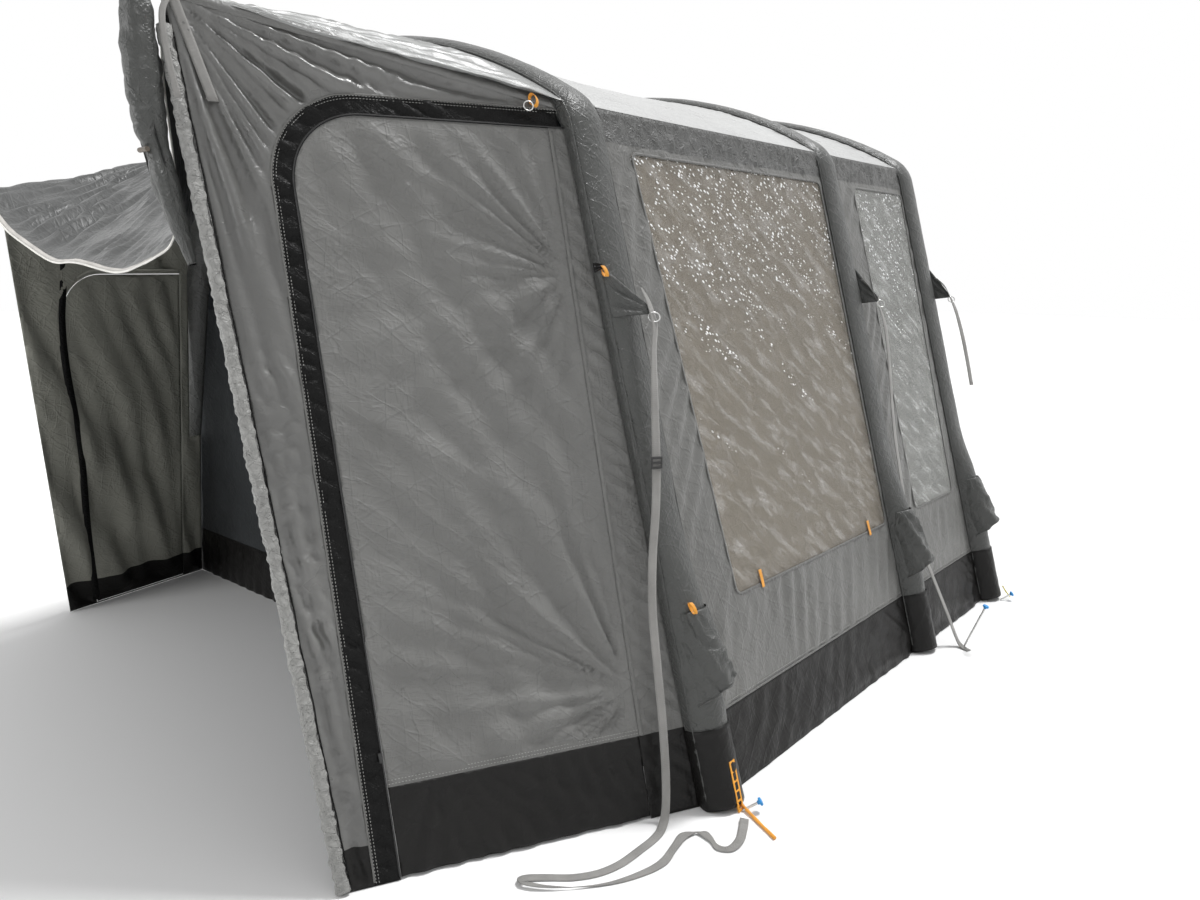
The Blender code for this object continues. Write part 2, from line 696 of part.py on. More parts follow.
def make_near_tunnel_wall():
    """The near tunnel wall: its frame, zip band, hinge strip, door and padded edge."""
    clear = near_clear()
    low = GROUND_LIFT
    band = near_door_edge(ZIP_BAND, low)
    seam = HELD_CORNER_HEIGHT - ROOF_SEAM_DROP
    knee = clear + KNEE_CLEARANCE
    frame = [(TUNNEL_LENGTH, low), (TUNNEL_LENGTH, seam), (knee, EAVE_HEIGHT - ROOF_SEAM_DROP)]
    frame += [(knee, DOOR_TOP + ZIP_BAND + GAP)]
    frame += [(spot[0] + GAP, spot[1] + GAP) for spot in reversed(band)]
    flat_sheet("tunnel_wall_near", [[near_tunnel(*spot) for spot in frame]], FABRIC, WALL_CLOTH)

    inner = near_door_edge(GAP, low)
    outline = band + [(knee, DOOR_TOP + ZIP_BAND), (knee, DOOR_TOP + GAP)] + list(reversed(inner))
    flat_sheet("near_door_zip_band", [[near_tunnel(*spot) for spot in outline]], FABRIC, ZIP_CLOTH)

    strip = [(clear, low), (hinge_distance(low) - GAP / 2, low)]
    strip += [(hinge_distance(DOOR_TOP) - GAP / 2, DOOR_TOP), (clear, DOOR_TOP)]
    flat_sheet("near_hinge_strip", [[near_tunnel(*spot) for spot in strip]], FABRIC, WALL_CLOTH)

    low = MUD_HEIGHT + GAP
    head = DOOR_TOP - SEAM_GAP
    door = near_door_edge(-SEAM_GAP, low)
    door += [(hinge_distance(head) + GAP / 2, head)]
    door += [(hinge_distance(low) + GAP / 2, low)]
    flat_sheet("near_tunnel_door", [[near_tunnel(*spot) for spot in door]], FABRIC, DOOR_CLOTH)
    band = [
        (hinge_distance(DOOR_LIFT) + GAP / 2, DOOR_LIFT),
        (door_edge_distance(DOOR_LIFT) - SEAM_GAP, DOOR_LIFT),
        (door_edge_distance(MUD_HEIGHT) - SEAM_GAP, MUD_HEIGHT),
        (hinge_distance(MUD_HEIGHT) + GAP / 2, MUD_HEIGHT),
    ]
    flat_sheet("near_door_mud_band", [[near_tunnel(*spot) for spot in band]], FABRIC, MUD_CLOTH)

    pad_distance = TUNNEL_LENGTH + EDGE_PAD_RADIUS + GAP
    pad_low = EDGE_PAD_RADIUS * math.sin(LEAN_ANGLE) + GROUND_LIFT
    pad = [near_tunnel(pad_distance, pad_low), near_tunnel(pad_distance, seam - EDGE_PAD_DROP)]
    round_tube("tunnel_edge_pad", pad, EDGE_PAD_RADIUS, TUBE_RESOLUTION, True, WALL_CLOTH)


def make_far_tunnel_wall():
    """The far tunnel wall with its door, which both hang slack because the van is away."""
    flat = far_clear(FABRIC / 2 + GAP)
    clear = far_clear(SLEEVE_CLEAR)
    low = GROUND_LIFT
    edge_slope = (FAR_CORNER_REACH - FAR_EDGE_FOOT) / FAR_CORNER_HEIGHT
    top = FAR_CORNER_HEIGHT - ROOF_SEAM_DROP
    outline = [
        (flat, low),
        (FAR_EDGE_FOOT, low),
        (FAR_EDGE_FOOT + edge_slope * top, top),
        (clear, FAR_EAVE_HEIGHT),
        (clear, FAR_STEP_HEIGHT),
        (flat, FAR_STEP_HEIGHT),
    ]
    hole = far_door_outline(0, 0)
    flat_sheet(
        "tunnel_wall_far",
        [[far_tunnel(*spot) for spot in outline], [far_tunnel(*spot) for spot in hole]],
        FABRIC,
        INNER_CLOTH,
    )
    door = far_door_outline(SEAM_GAP, GAP)
    flat_sheet("far_tunnel_door", [[far_tunnel(*spot) for spot in door]], FABRIC, INNER_CLOTH)


def far_door_outline(shrink, seam):
    """The far door's D shape, as distance and height, with a gap of its own along the hinge seam."""
    low = DOOR_LIFT + shrink
    points = [(FAR_HINGE + seam, low), (FAR_DOOR_FOOT - shrink, low)]
    steps = 6
    for step in range(steps + 1):
        angle = math.pi / 2 * step / steps
        reach = FAR_DOOR_RADIUS - shrink
        distance = FAR_DOOR_SHOULDER - FAR_DOOR_RADIUS + reach * math.cos(angle)
        points.append((distance, FAR_DOOR_TOP - FAR_DOOR_RADIUS + reach * math.sin(angle)))
    points.append((FAR_HINGE + seam, FAR_DOOR_TOP - shrink))
    return points


# The beaded edge's route from the held corner to the far corner, as shares: how far across
# the held corner lies from the far one, how far below the held corner, and how far towards the van
KADOR_ROUTE_SHARES = (
    (0.004, 0.000, 1.000),
    (0.006, 0.105, 1.005),
    (0.004, 0.265, 1.010),
    (-0.002, 0.440, 1.010),
    (-0.002, 0.620, 1.010),
    (0.020, 0.745, 1.010),
    (0.075, 0.800, 1.010),
    (0.150, 0.824, 1.005),
    (0.300, 0.830, 1.000),
    (0.450, 0.822, 0.995),
    (0.620, 0.785, 0.985),
    (0.800, 0.700, 0.980),
    (0.930, 0.580, 0.975),
    (1.000, 0.490, 0.974),
)


def kador_line():
    """The beaded edge of the tunnel roof, in space."""
    held = near_tunnel(TUNNEL_LENGTH, HELD_CORNER_HEIGHT)
    edge_slope = (FAR_CORNER_REACH - FAR_EDGE_FOOT) / FAR_CORNER_HEIGHT
    far = far_tunnel(FAR_EDGE_FOOT + edge_slope * FAR_CORNER_HEIGHT, FAR_CORNER_HEIGHT)
    fall = (held.z - far.z) / KADOR_ROUTE_SHARES[-1][1]
    points = []
    for across, down, out in KADOR_ROUTE_SHARES:
        x = held.x + (far.x - held.x) * across
        points.append(Vector((x, REAR_ARCH_Y - TUNNEL_DEPTH * out, held.z - fall * down)))
    return points


def at_share(points, share):
    """The point at a share of a line's length."""
    lengths = [(second - first).length for first, second in zip(points, points[1:])]
    left = share * sum(lengths)
    for first, second, length in zip(points, points[1:], lengths):
        if left <= length:
            return first.lerp(second, left / length)
        left -= length
    return points[-1].copy()


def smooth_line(points, pieces=4):
    """The same line with a Catmull-Rom curve through its points."""
    ends = [points[0] * 2 - points[1], *points, points[-1] * 2 - points[-2]]
    line = []
    for index in range(1, len(ends) - 2):
        before, start, end, after = ends[index - 1 : index + 3]
        for step in range(pieces):
            t = step / pieces
            line.append(
                0.5
                * (
                    2 * start
                    + (end - before) * t
                    + (2 * before - 5 * start + 4 * end - after) * t**2
                    + (3 * start - before - 3 * end + after) * t**3
                )
            )
    line.append(points[-1].copy())
    return line


def tunnel_roof_point(across, out):
    """A point of the tunnel roof: across runs from its near to its far edge, out from arch to van."""
    reach = ROOF_HALF_ANGLE - FABRIC / ROOF_RADIUS
    arch = roof_point(reach * (1 - 2 * across), REAR_ARCH_Y - SLEEVE_CLEAR - FABRIC / 2)
    kador = smooth_line(kador_line())
    if across < FAN_SHARE:
        edge = kador[0].lerp(kador[1], across / FAN_SHARE)
        share = across / FAN_SHARE
        fold = FAN_FOLD_DEPTH * math.sin(FAN_FOLDS * 2 * math.pi * share) * math.sin(math.pi * share)
        swell = math.sin(math.pi * out) * (1 - out)
        return arch.lerp(edge, out) + Vector((0, 0, fold * swell))
    share = (across - FAN_SHARE) / (1 - FAN_SHARE)
    first = 1 / (4 * (len(KADOR_ROUTE_SHARES) - 1))
    edge = at_share(kador, first + (1 - first) * share)
    fold = DRAPE_FOLD_DEPTH * math.sin(DRAPE_FOLDS * 2 * math.pi * share) * math.sin(math.pi * share)
    sag = DRAPE_SAG * math.sin(math.pi * share) * math.sin(math.pi * out)
    return arch.lerp(edge, out) + Vector((0, -fold / 2, fold)) * out * (1 - out / 2) - Vector((0, 0, sag))


def make_tunnel_roof():
    """The tunnel roof as one hanging sheet, and the bead along its van edge."""
    bm = bmesh.new()
    bmesh.ops.create_grid(bm, x_segments=ROOF_COLUMNS, y_segments=ROOF_ROWS, size=0.5)
    for vert in bm.verts:
        vert.co = tunnel_roof_point(vert.co.x + 0.5, vert.co.y + 0.5)
    bmesh.ops.recalc_face_normals(bm, faces=bm.faces)
    roof = add_object("tunnel_roof", mesh_from(bm, "tunnel_roof"), ROOF_CLOTH)
    add_solidify(roof, FABRIC)
    smooth(roof, 60)
    bead = []
    for column in range(math.ceil(FAN_SHARE * ROOF_COLUMNS), ROOF_COLUMNS + 1):
        edge = tunnel_roof_point(column / ROOF_COLUMNS, 1)
        hem = edge - tunnel_roof_point(column / ROOF_COLUMNS, 1 - 1 / ROOF_ROWS)
        bead.append(edge + hem.normalized() * (KADOR_RADIUS + GAP))
    round_tube("kador_bead", bead, KADOR_RADIUS, 2, True, BEAD_PLASTIC)


def ribbon(name, points, sides, width, thickness, material):
    """A flat strap along a line of points, with the direction of its width given at each point."""
    bm = bmesh.new()
    pairs = []
    for point, side in zip(points, sides):
        half = side.normalized() * width / 2
        pairs.append((bm.verts.new(point - half), bm.verts.new(point + half)))
    for (a, b), (c, d) in zip(pairs, pairs[1:]):
        bm.faces.new((a, b, d, c))
    strap = add_object(name, mesh_from(bm, name), material)
    add_solidify(strap, thickness)
    smooth(strap)
    return strap


# Routes of the straps, as points chosen by hand, measured from the rear arch's line:
# across, along and up, and then the direction of the strap's width
REAR_STRAP_ROUTE = (
    ((1.2840, 0.0326, 1.4440), (-0.45, 0.87, 0.0)),
    ((1.310, 0.034, 1.405), (-0.2, 1.0, 0.0)),
    ((1.340, 0.026, 1.342), (0.0, 1.0, 0.0)),
    ((1.352, 0.008, 1.265), (0.0, 1.0, 0.0)),
    ((1.382, -0.022, 1.120), (0.35, 1.0, 0.0)),
    ((1.412, -0.050, 0.970), (0.6, 1.0, 0.0)),
    ((1.437, -0.082, 0.850), (0.6, 1.0, 0.0)),
    ((1.452, -0.112, 0.720), (0.5, 1.0, 0.0)),
    ((1.470, -0.132, 0.580), (0.5, 1.0, 0.0)),
    ((1.497, -0.142, 0.430), (0.5, 1.0, 0.0)),
    ((1.526, -0.152, 0.280), (0.5, 1.0, 0.0)),
    ((1.552, -0.166, 0.130), (0.5, 1.0, 0.0)),
    ((1.567, -0.184, 0.040), (0.6, 1.0, 0.0)),
    ((1.580, -0.215, 0.008), (0.9, 0.3, 0.0)),
    ((1.590, -0.260, 0.002), (1.0, 0.1, 0.0)),
    ((1.592, -0.330, 0.002), (1.0, 0.0, 0.0)),
    ((1.590, -0.405, 0.002), (1.0, -0.1, 0.0)),
    ((1.572, -0.470, 0.002), (0.8, -0.5, 0.0)),
    ((1.535, -0.525, 0.002), (0.7, -0.7, 0.0)),
    ((1.490, -0.565, 0.002), (0.7, -0.7, 0.0)),
    ((1.455, -0.600, 0.004), (0.7, -0.7, 0.0)),
    ((1.450, -0.625, 0.009), (0.9, -0.2, 0.0)),
    ((1.470, -0.628, 0.012), (0.6, 0.8, 0.0)),
    ((1.510, -0.606, 0.010), (0.5, 0.8, 0.0)),
    ((1.565, -0.555, 0.006), (0.7, 0.7, 0.0)),
    ((1.620, -0.480, 0.002), (0.8, 0.5, 0.0)),
    ((1.655, -0.400, 0.002), (1.0, 0.3, 0.0)),
    ((1.668, -0.330, 0.002), (1.0, 0.0, 0.0)),
    ((1.655, -0.265, 0.004), (0.9, -0.3, 0.0)),
    ((1.645, -0.205, 0.006), (1.0, 0.1, 0.0)),
    ((1.668, -0.165, 0.006), (0.6, 0.9, 0.0)),
    ((1.705, -0.168, 0.004), (-0.3, 1.0, 0.0)),
    ((1.738, -0.186, 0.003), (-0.5, 0.9, 0.0)),
    ((1.768, -0.170, 0.003), (-1.0, 0.2, 0.0)),
    ((1.768, -0.125, 0.003), (-1.0, -0.2, 0.0)),
    ((1.748, -0.075, 0.004), (-0.9, -0.4, 0.0)),
    ((1.728, -0.035, 0.008), (-0.9, -0.3, 0.0)),
)
MIDDLE_STRAP_ROUTE = (
    ((1.2554, 1.5065, 1.4588), (-0.85, 0.50, 0.0)),
    ((1.300, 1.530, 1.400), (-0.5, 0.8, 0.0)),
    ((1.348, 1.546, 1.280), (0.0, 1.0, 0.0)),
    ((1.380, 1.549, 1.100), (0.0, 1.0, 0.0)),
    ((1.406, 1.549, 0.920), (0.0, 1.0, 0.0)),
    ((1.438, 1.548, 0.755), (0.0, 1.0, 0.0)),
    ((1.504, 1.548, 0.500), (0.0, 1.0, 0.0)),
    ((1.602, 1.548, 0.313), (0.0, 1.0, 0.0)),
    ((1.690, 1.556, 0.130), (0.0, 1.0, 0.0)),
    ((1.733, 1.566, 0.030), (0.0, 1.0, 0.0)),
    ((1.760, 1.560, 0.006), (0.3, 1.0, 0.0)),
    ((1.790, 1.548, 0.002), (0.4, 1.0, 0.0)),
)
FRONT_STRAP_ROUTE = (
    ((1.2554, 2.2865, 1.4588), (-0.85, 0.50, 0.0)),
    ((1.300, 2.297, 1.420), (-0.5, 0.8, 0.0)),
    ((1.340, 2.300, 1.350), (0.0, 1.0, 0.0)),
    ((1.366, 2.300, 1.293), (0.2, 1.0, 0.0)),
    ((1.400, 2.302, 1.190), (0.3, 1.0, 0.0)),
    ((1.430, 2.304, 1.080), (0.3, 1.0, 0.0)),
    ((1.456, 2.306, 0.974), (0.3, 1.0, 0.0)),
)


def strap_points(route):
    start = Vector((0, REAR_ARCH_Y, 0))
    return [start + Vector(place) for place, side in route]


def smooth_route(route, pieces):
    """A strap's points and width directions on a smooth curve through its route."""
    points = smooth_line(strap_points(route), pieces)
    sides = smooth_line([Vector(side).normalized() for place, side in route], pieces)
    return points, sides


def make_straps():
    """The three storm straps of the near side, and the slider on the rear one."""
    for name, route, pieces in (
        ("rear", REAR_STRAP_ROUTE, 2),
        ("middle", MIDDLE_STRAP_ROUTE, 1),
        ("front", FRONT_STRAP_ROUTE, 1),
    ):
        points, sides = smooth_route(route, pieces)
        ribbon("storm_strap_" + name, points, sides, WEBBING_WIDTH, WEBBING_THICKNESS, WEBBING)
    points = strap_points(REAR_STRAP_ROUTE)
    down = (points[SLIDER_STEPS + 1] - points[SLIDER_STEPS]).normalized()
    side = Vector(REAR_STRAP_ROUTE[SLIDER_STEPS][1]).normalized()
    out = side.cross(down).normalized()
    if out.x < 0:
        out.negate()
    centre = points[SLIDER_STEPS] + out * (WEBBING_THICKNESS / 2 + BUCKLE_THICKNESS / 2 + BUCKLE_STAND)
    half_width = side * BUCKLE_WIDTH / 2
    half_length = down * BUCKLE_LENGTH / 2
    plate = [
        centre - half_width - half_length,
        centre + half_width - half_length,
        centre + half_width + half_length,
        centre - half_width + half_length,
    ]
    flat_sheet("strap_slider", [plate], BUCKLE_THICKNESS, BLACK_PLASTIC)


def torus(ring_radius, wire, turns=20, sides=8):
    """A ring's mesh, lying flat about Z."""
    bm = bmesh.new()
    bmesh.ops.create_circle(bm, segments=sides, radius=wire)
    bmesh.ops.rotate(bm, verts=bm.verts, cent=(0, 0, 0), matrix=Matrix.Rotation(math.pi / 2, 3, "X"))
    bmesh.ops.translate(bm, verts=bm.verts, vec=(ring_radius, 0, 0))
    bmesh.ops.spin(
        bm,
        geom=bm.verts[:] + bm.edges[:],
        axis=(0, 0, 1),
        cent=(0, 0, 0),
        steps=turns,
        angle=2 * math.pi,
        use_merge=True,
    )
    bmesh.ops.recalc_face_normals(bm, faces=bm.faces)
    return bm


def make_held_corner():
    """The strap and ring that hold up the near corner of the tunnel roof, and the flap rolled up there."""
    lift = FABRIC / 2 + WEBBING_THICKNESS / 2 + GAP
    points = []
    for inset, rise in CORNER_STRAP_SHARES:
        distance = TUNNEL_LENGTH - inset * CORNER_STRAP_INSET
        points.append(near_tunnel(distance, HELD_CORNER_HEIGHT + rise * CORNER_STRAP_DROP, lift))
    along = near_tunnel(1, 0) - near_tunnel(0, 0)
    ribbon("corner_strap", points, [along] * len(points), WEBBING_WIDTH, WEBBING_THICKNESS, WEBBING)
    up = (points[-1] - points[-2]).normalized()
    ring = add_object("corner_ring", mesh_from(torus(RING_RADIUS, RING_WIRE), "corner_ring"), STEEL)
    out = along.normalized().cross(up)
    centre = points[-1] + up * (RING_RADIUS + RING_WIRE + GAP)
    turn = Matrix((along.normalized(), up, out)).transposed().to_4x4()
    ring.matrix_world = Matrix.Translation(centre) @ turn
    smooth(ring)

    held = near_tunnel(TUNNEL_LENGTH, HELD_CORNER_HEIGHT)
    line = [
        held + Vector((across * FLAP_SWING, -out * FLAP_STAND, rise * FLAP_LENGTH))
        for across, out, rise, fat in ROLLED_FLAP_SHARES
    ]
    flap = round_tube("rolled_flap", line, FLAP_RADIUS, 2, True, INNER_CLOTH)
    for spot, (across, out, rise, fat) in zip(flap.data.splines[0].points, ROLLED_FLAP_SHARES):
        spot.radius = fat
    fat = ROLLED_FLAP_SHARES[TOGGLE_STEPS][3]
    bm = cylinder(TOGGLE_RADIUS, -TOGGLE_LENGTH / 2, TOGGLE_LENGTH / 2, 12)
    toggle = add_object("flap_toggle", mesh_from(bm, "flap_toggle"), BROWN_PLASTIC)
    middle = line[TOGGLE_STEPS] - Vector((0, fat * FLAP_RADIUS + TOGGLE_RADIUS + GAP, 0))
    toggle.matrix_world = Matrix.Translation(middle) @ Matrix.Rotation(math.pi / 2, 4, "Y")


def make_slider(name, centre, climb, out):
    """A zip's slider, whose length lies along its zip."""
    bm = bmesh.new()
    bmesh.ops.create_cube(bm, size=1)
    size = (ZIP_SLIDER_WIDTH, ZIP_SLIDER_LENGTH, ZIP_SLIDER_THICKNESS)
    bmesh.ops.scale(bm, verts=bm.verts, vec=size)
    tip = [vert for vert in bm.verts if vert.co.y < 0]
    bmesh.ops.scale(bm, verts=tip, vec=(ZIP_SLIDER_TAPER_SHARE, 1, ZIP_SLIDER_TAPER_SHARE))
    slider = add_object(name, mesh_from(bm, name), BLACK_PLASTIC)
    climb = climb.normalized()
    out = out.normalized()
    side = climb.cross(out)
    lift = FABRIC / 2 + ZIP_SLIDER_THICKNESS / 2 + GAP
    turn = Matrix((side, climb, out)).transposed().to_4x4()
    slider.matrix_world = Matrix.Translation(centre + out * lift) @ turn
    bevel = slider.modifiers.new("Edge", "BEVEL")
    bevel.width = ZIP_SLIDER_THICKNESS * ZIP_SLIDER_EDGE_SHARE
    bevel.segments = 2


def make_sliders():
    """The sliders of the near, far and front doors' zips."""
    low = door_edge_distance(ZIP_SLIDER_HEIGHT) + ZIP_SLIDER_WIDTH / 2
    high = door_edge_distance(DOOR_TOP - DOOR_RADIUS) + ZIP_SLIDER_WIDTH / 2
    start = near_tunnel(low, ZIP_SLIDER_HEIGHT)
    out = near_tunnel(0, 0, 1) - near_tunnel(0, 0)
    climb = near_tunnel(high, DOOR_TOP - DOOR_RADIUS) - start
    make_slider("near_zip_slider", start, climb, out)

    rise = FAR_DOOR_TOP - FAR_DOOR_RADIUS - DOOR_LIFT
    share = (ZIP_SLIDER_HEIGHT - DOOR_LIFT) / rise
    low = FAR_DOOR_FOOT + (FAR_DOOR_SHOULDER - FAR_DOOR_FOOT) * share + ZIP_SLIDER_WIDTH / 2
    high = FAR_DOOR_SHOULDER + ZIP_SLIDER_WIDTH / 2
    start = far_tunnel(low, ZIP_SLIDER_HEIGHT)
    out = far_tunnel(0, 0, 1) - far_tunnel(0, 0)
    make_slider("far_zip_slider", start, far_tunnel(high, FAR_DOOR_TOP - FAR_DOOR_RADIUS) - start, out)

    x = -FRONT_DOOR_WIDTH / 2 - SEAM_GAP - ZIP_SLIDER_WIDTH / 2
    start = Vector((x, FRONT_ARCH_Y, MUD_HEIGHT + ZIP_SLIDER_HEIGHT))
    make_slider("front_zip_slider", start, Vector((0, 0, 1)), Vector((0, 1, 0)))


def make_ladder():
    """The rubber ladder strap at the foot of the rear arch, slotted for the peg."""
    lift = SLEEVE_RADIUS + LADDER_THICKNESS / 2 + GAP
    low = GROUND_LIFT - (lift - LADDER_THICKNESS / 2) * math.sin(LEAN_ANGLE)
    frame = outward_frame(1, REAR_ARCH_Y, low, lift)
    half = LADDER_WIDTH / 2

    def outline(x_low, x_high, y_low, y_high):
        corners = ((x_low, y_low), (x_high, y_low), (x_high, y_high), (x_low, y_high))
        return [frame @ Vector((x, y, 0)) for x, y in corners]

    outlines = [outline(-half, half, 0, LADDER_LENGTH)]
    pitch = (LADDER_LENGTH - LADDER_RAIL) / LADDER_SLOTS
    for step in range(LADDER_SLOTS):
        low_edge = LADDER_RAIL + pitch * step
        high_edge = low_edge + pitch - LADDER_RAIL
        outlines.append(outline(-half + LADDER_RAIL, half - LADDER_RAIL, low_edge, high_edge))
    flat_sheet("ladder_strap", outlines, LADDER_THICKNESS, ORANGE_RUBBER)


def make_peg(name, foot, climb, length):
    """A steel peg from the ground up, with its plastic head."""
    profile = (
        (0, length),
        (PEG_HEAD_RADIUS * PEG_CROWN_SHARE, length),
        (PEG_HEAD_RADIUS, length - PEG_HEAD_THICKNESS * PEG_ROUND_SHARE),
        (PEG_HEAD_RADIUS, length - PEG_HEAD_THICKNESS),
        (PEG_RADIUS, length - PEG_HEAD_THICKNESS * PEG_NECK_SHARE),
        (PEG_RADIUS, 0),
        (0, 0),
    )
    bm = bmesh.new()
    verts = [bm.verts.new((radius, 0, height)) for radius, height in profile]
    for first, second in zip(verts, verts[1:]):
        bm.edges.new((first, second))
    peg = add_object(name, mesh_from(bm, name), BLUE_PLASTIC)
    peg.matrix_world = Matrix.Translation(foot) @ climb.to_track_quat("Z", "Y").to_matrix().to_4x4()
    screw = peg.modifiers.new("Turn", "SCREW")
    screw.steps = screw.render_steps = 12
    screw.use_merge_vertices = True
    screw.merge_threshold = 0.0001
    smooth(peg)


def make_pegs():
    """A peg at the foot of each corner leg, and the one that ends the middle storm strap."""
    lean = Vector(PEG_LEAN_SHARES).normalized()
    tip_lift = Vector((0, 0, PEG_RADIUS))
    for name, side, y, cover in (
        ("peg_rear_near", 1, REAR_ARCH_Y, LADDER_THICKNESS + GAP),
        ("peg_front_near", 1, FRONT_ARCH_Y, 0),
        ("peg_rear_far", -1, REAR_ARCH_Y, 0),
        ("peg_front_far", -1, FRONT_ARCH_Y, 0),
    ):
        reach = (SLEEVE_RADIUS + cover + PEG_SEAT + GAP) / math.cos(LEAN_ANGLE)
        foot = Vector((side * (FOOT_X + reach), y, 0))
        make_peg(name, foot + tip_lift, Vector((side * lean.x, lean.y, lean.z)), PEG_STAND)
    foot = Vector((FOOT_X + STRAP_PEG_OUT, MIDDLE_ARCH_Y + STRAP_PEG_ALONG, 0))
    make_peg("peg_middle_near", foot + tip_lift, Vector(STRAP_PEG_LEAN_SHARES).normalized(), STRAP_PEG_LENGTH)


for thing in list(bpy.data.objects):
    bpy.data.objects.remove(thing)
AWNING = new_collection("drive_away_awning")
CUTTERS = new_collection("cutters")
WALL_CLOTH = new_material("wall_cloth", (0.19, 0.19, 0.185), 0.75)
DOOR_CLOTH = new_material("door_cloth", (0.20, 0.20, 0.19), 0.75)
INNER_CLOTH = new_material("inner_cloth", (0.07, 0.075, 0.065), 0.8)
ROOF_CLOTH = new_material("roof_cloth", (0.30, 0.31, 0.31), 0.5)
SLEEVE_CLOTH = new_material("sleeve_cloth", (0.09, 0.092, 0.09), 0.7)
MUD_CLOTH = new_material("mud_cloth", (0.014, 0.013, 0.012), 0.6)
ZIP_CLOTH = new_material("zip_cloth", (0.012, 0.012, 0.012), 0.6)
BLIND_CLOTH = new_material("blind_cloth", (0.15, 0.13, 0.11), 0.8)
CLEAR_FILM = new_material("clear_film", (0.75, 0.77, 0.76), 0.1, alpha=0.35)
BEAM_FILM = new_material("beam_film", (0.55, 0.55, 0.52), 0.4)
WEBBING = new_material("webbing", (0.38, 0.35, 0.34), 0.8)
BEAD_PLASTIC = new_material("bead_plastic", (0.75, 0.74, 0.70), 0.5)
BLACK_PLASTIC = new_material("black_plastic", (0.02, 0.02, 0.02), 0.4)
CAP_PLASTIC = new_material("cap_plastic", (0.03, 0.03, 0.03), 0.4)
BROWN_PLASTIC = new_material("brown_plastic", (0.13, 0.09, 0.06), 0.4)
BLUE_PLASTIC = new_material("blue_plastic", (0.02, 0.25, 0.62), 0.4)
ORANGE_RUBBER = new_material("orange_rubber", (0.83, 0.35, 0.03), 0.5)
STEEL = new_material("steel", (0.55, 0.55, 0.55), 0.3, 1.0)

for arch_name, arch_y in ARCHES.items():
    make_beam(arch_name, arch_y)
    make_sleeve(arch_name, arch_y)
    make_cap(arch_name, arch_y)
    make_hood(arch_name, arch_y)
for bay_name, y_start, y_end, margins in (
    (
        "long",
        REAR_ARCH_Y,
        MIDDLE_ARCH_Y,
        (LONG_WINDOW_REAR_HEAD, LONG_WINDOW_REAR_SILL, LONG_WINDOW_FRONT, LONG_WINDOW_FRONT),
    ),
    (
        "short",
        MIDDLE_ARCH_Y,
        FRONT_ARCH_Y,
        (SHORT_WINDOW_REAR, SHORT_WINDOW_REAR, SHORT_WINDOW_FRONT_HEAD, SHORT_WINDOW_FRONT_SILL),
    ),
):
    arched_panel("roof_panel_" + bay_name, y_start + SLEEVE_CLEAR, y_end - SLEEVE_CLEAR, ROOF_CLOTH)
    for side_name in SIDES:
        make_side_wall(side_name, bay_name, y_start, y_end, margins)
make_blind()
make_end_walls()
make_near_tunnel_wall()
make_far_tunnel_wall()
make_tunnel_roof()
make_straps()
make_held_corner()
make_sliders()
make_ladder()
make_pegs()
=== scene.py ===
# %% [markdown]
# # An inflatable drive-away awning
# The awning is a room of coated cloth on three air beams, with a tunnel that leads to a van. The packed
# model gives every piece its place and its joints. This script dresses it: each plain cloth solid is
# replaced by a thin sheet with the folds, seams and finish of the real cloth.

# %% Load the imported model
import math

import bmesh
import bpy
import numpy as np
from mathutils import Matrix, Vector, noise


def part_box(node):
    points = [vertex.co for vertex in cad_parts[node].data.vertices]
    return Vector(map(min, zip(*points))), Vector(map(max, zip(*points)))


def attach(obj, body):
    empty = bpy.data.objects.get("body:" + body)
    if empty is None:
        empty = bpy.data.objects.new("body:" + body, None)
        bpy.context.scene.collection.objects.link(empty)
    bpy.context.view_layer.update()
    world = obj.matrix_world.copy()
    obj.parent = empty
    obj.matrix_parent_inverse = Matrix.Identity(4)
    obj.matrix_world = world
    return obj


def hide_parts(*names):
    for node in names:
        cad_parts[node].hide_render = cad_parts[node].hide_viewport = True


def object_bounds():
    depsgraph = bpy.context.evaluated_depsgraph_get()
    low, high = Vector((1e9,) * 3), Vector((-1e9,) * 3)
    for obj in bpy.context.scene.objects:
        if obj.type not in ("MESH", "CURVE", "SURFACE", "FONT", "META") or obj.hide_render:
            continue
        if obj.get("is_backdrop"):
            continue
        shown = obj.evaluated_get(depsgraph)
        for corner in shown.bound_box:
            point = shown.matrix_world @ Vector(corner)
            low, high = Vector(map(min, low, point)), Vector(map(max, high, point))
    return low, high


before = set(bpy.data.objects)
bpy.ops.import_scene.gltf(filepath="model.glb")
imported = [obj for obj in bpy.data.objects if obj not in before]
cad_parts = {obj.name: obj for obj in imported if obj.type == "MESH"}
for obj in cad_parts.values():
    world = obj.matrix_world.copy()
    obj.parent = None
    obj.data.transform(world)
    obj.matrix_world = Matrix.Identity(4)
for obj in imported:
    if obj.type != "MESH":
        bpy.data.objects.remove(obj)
cad_low, cad_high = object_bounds()

# %% [markdown]
# ## Sizes
# The cloth follows the same lines as the model. The arches' places are read from the sleeves' boxes, and
# the driving sizes are repeated here in metres, because a sheet needs the line it hangs from and not
# only a box round it.

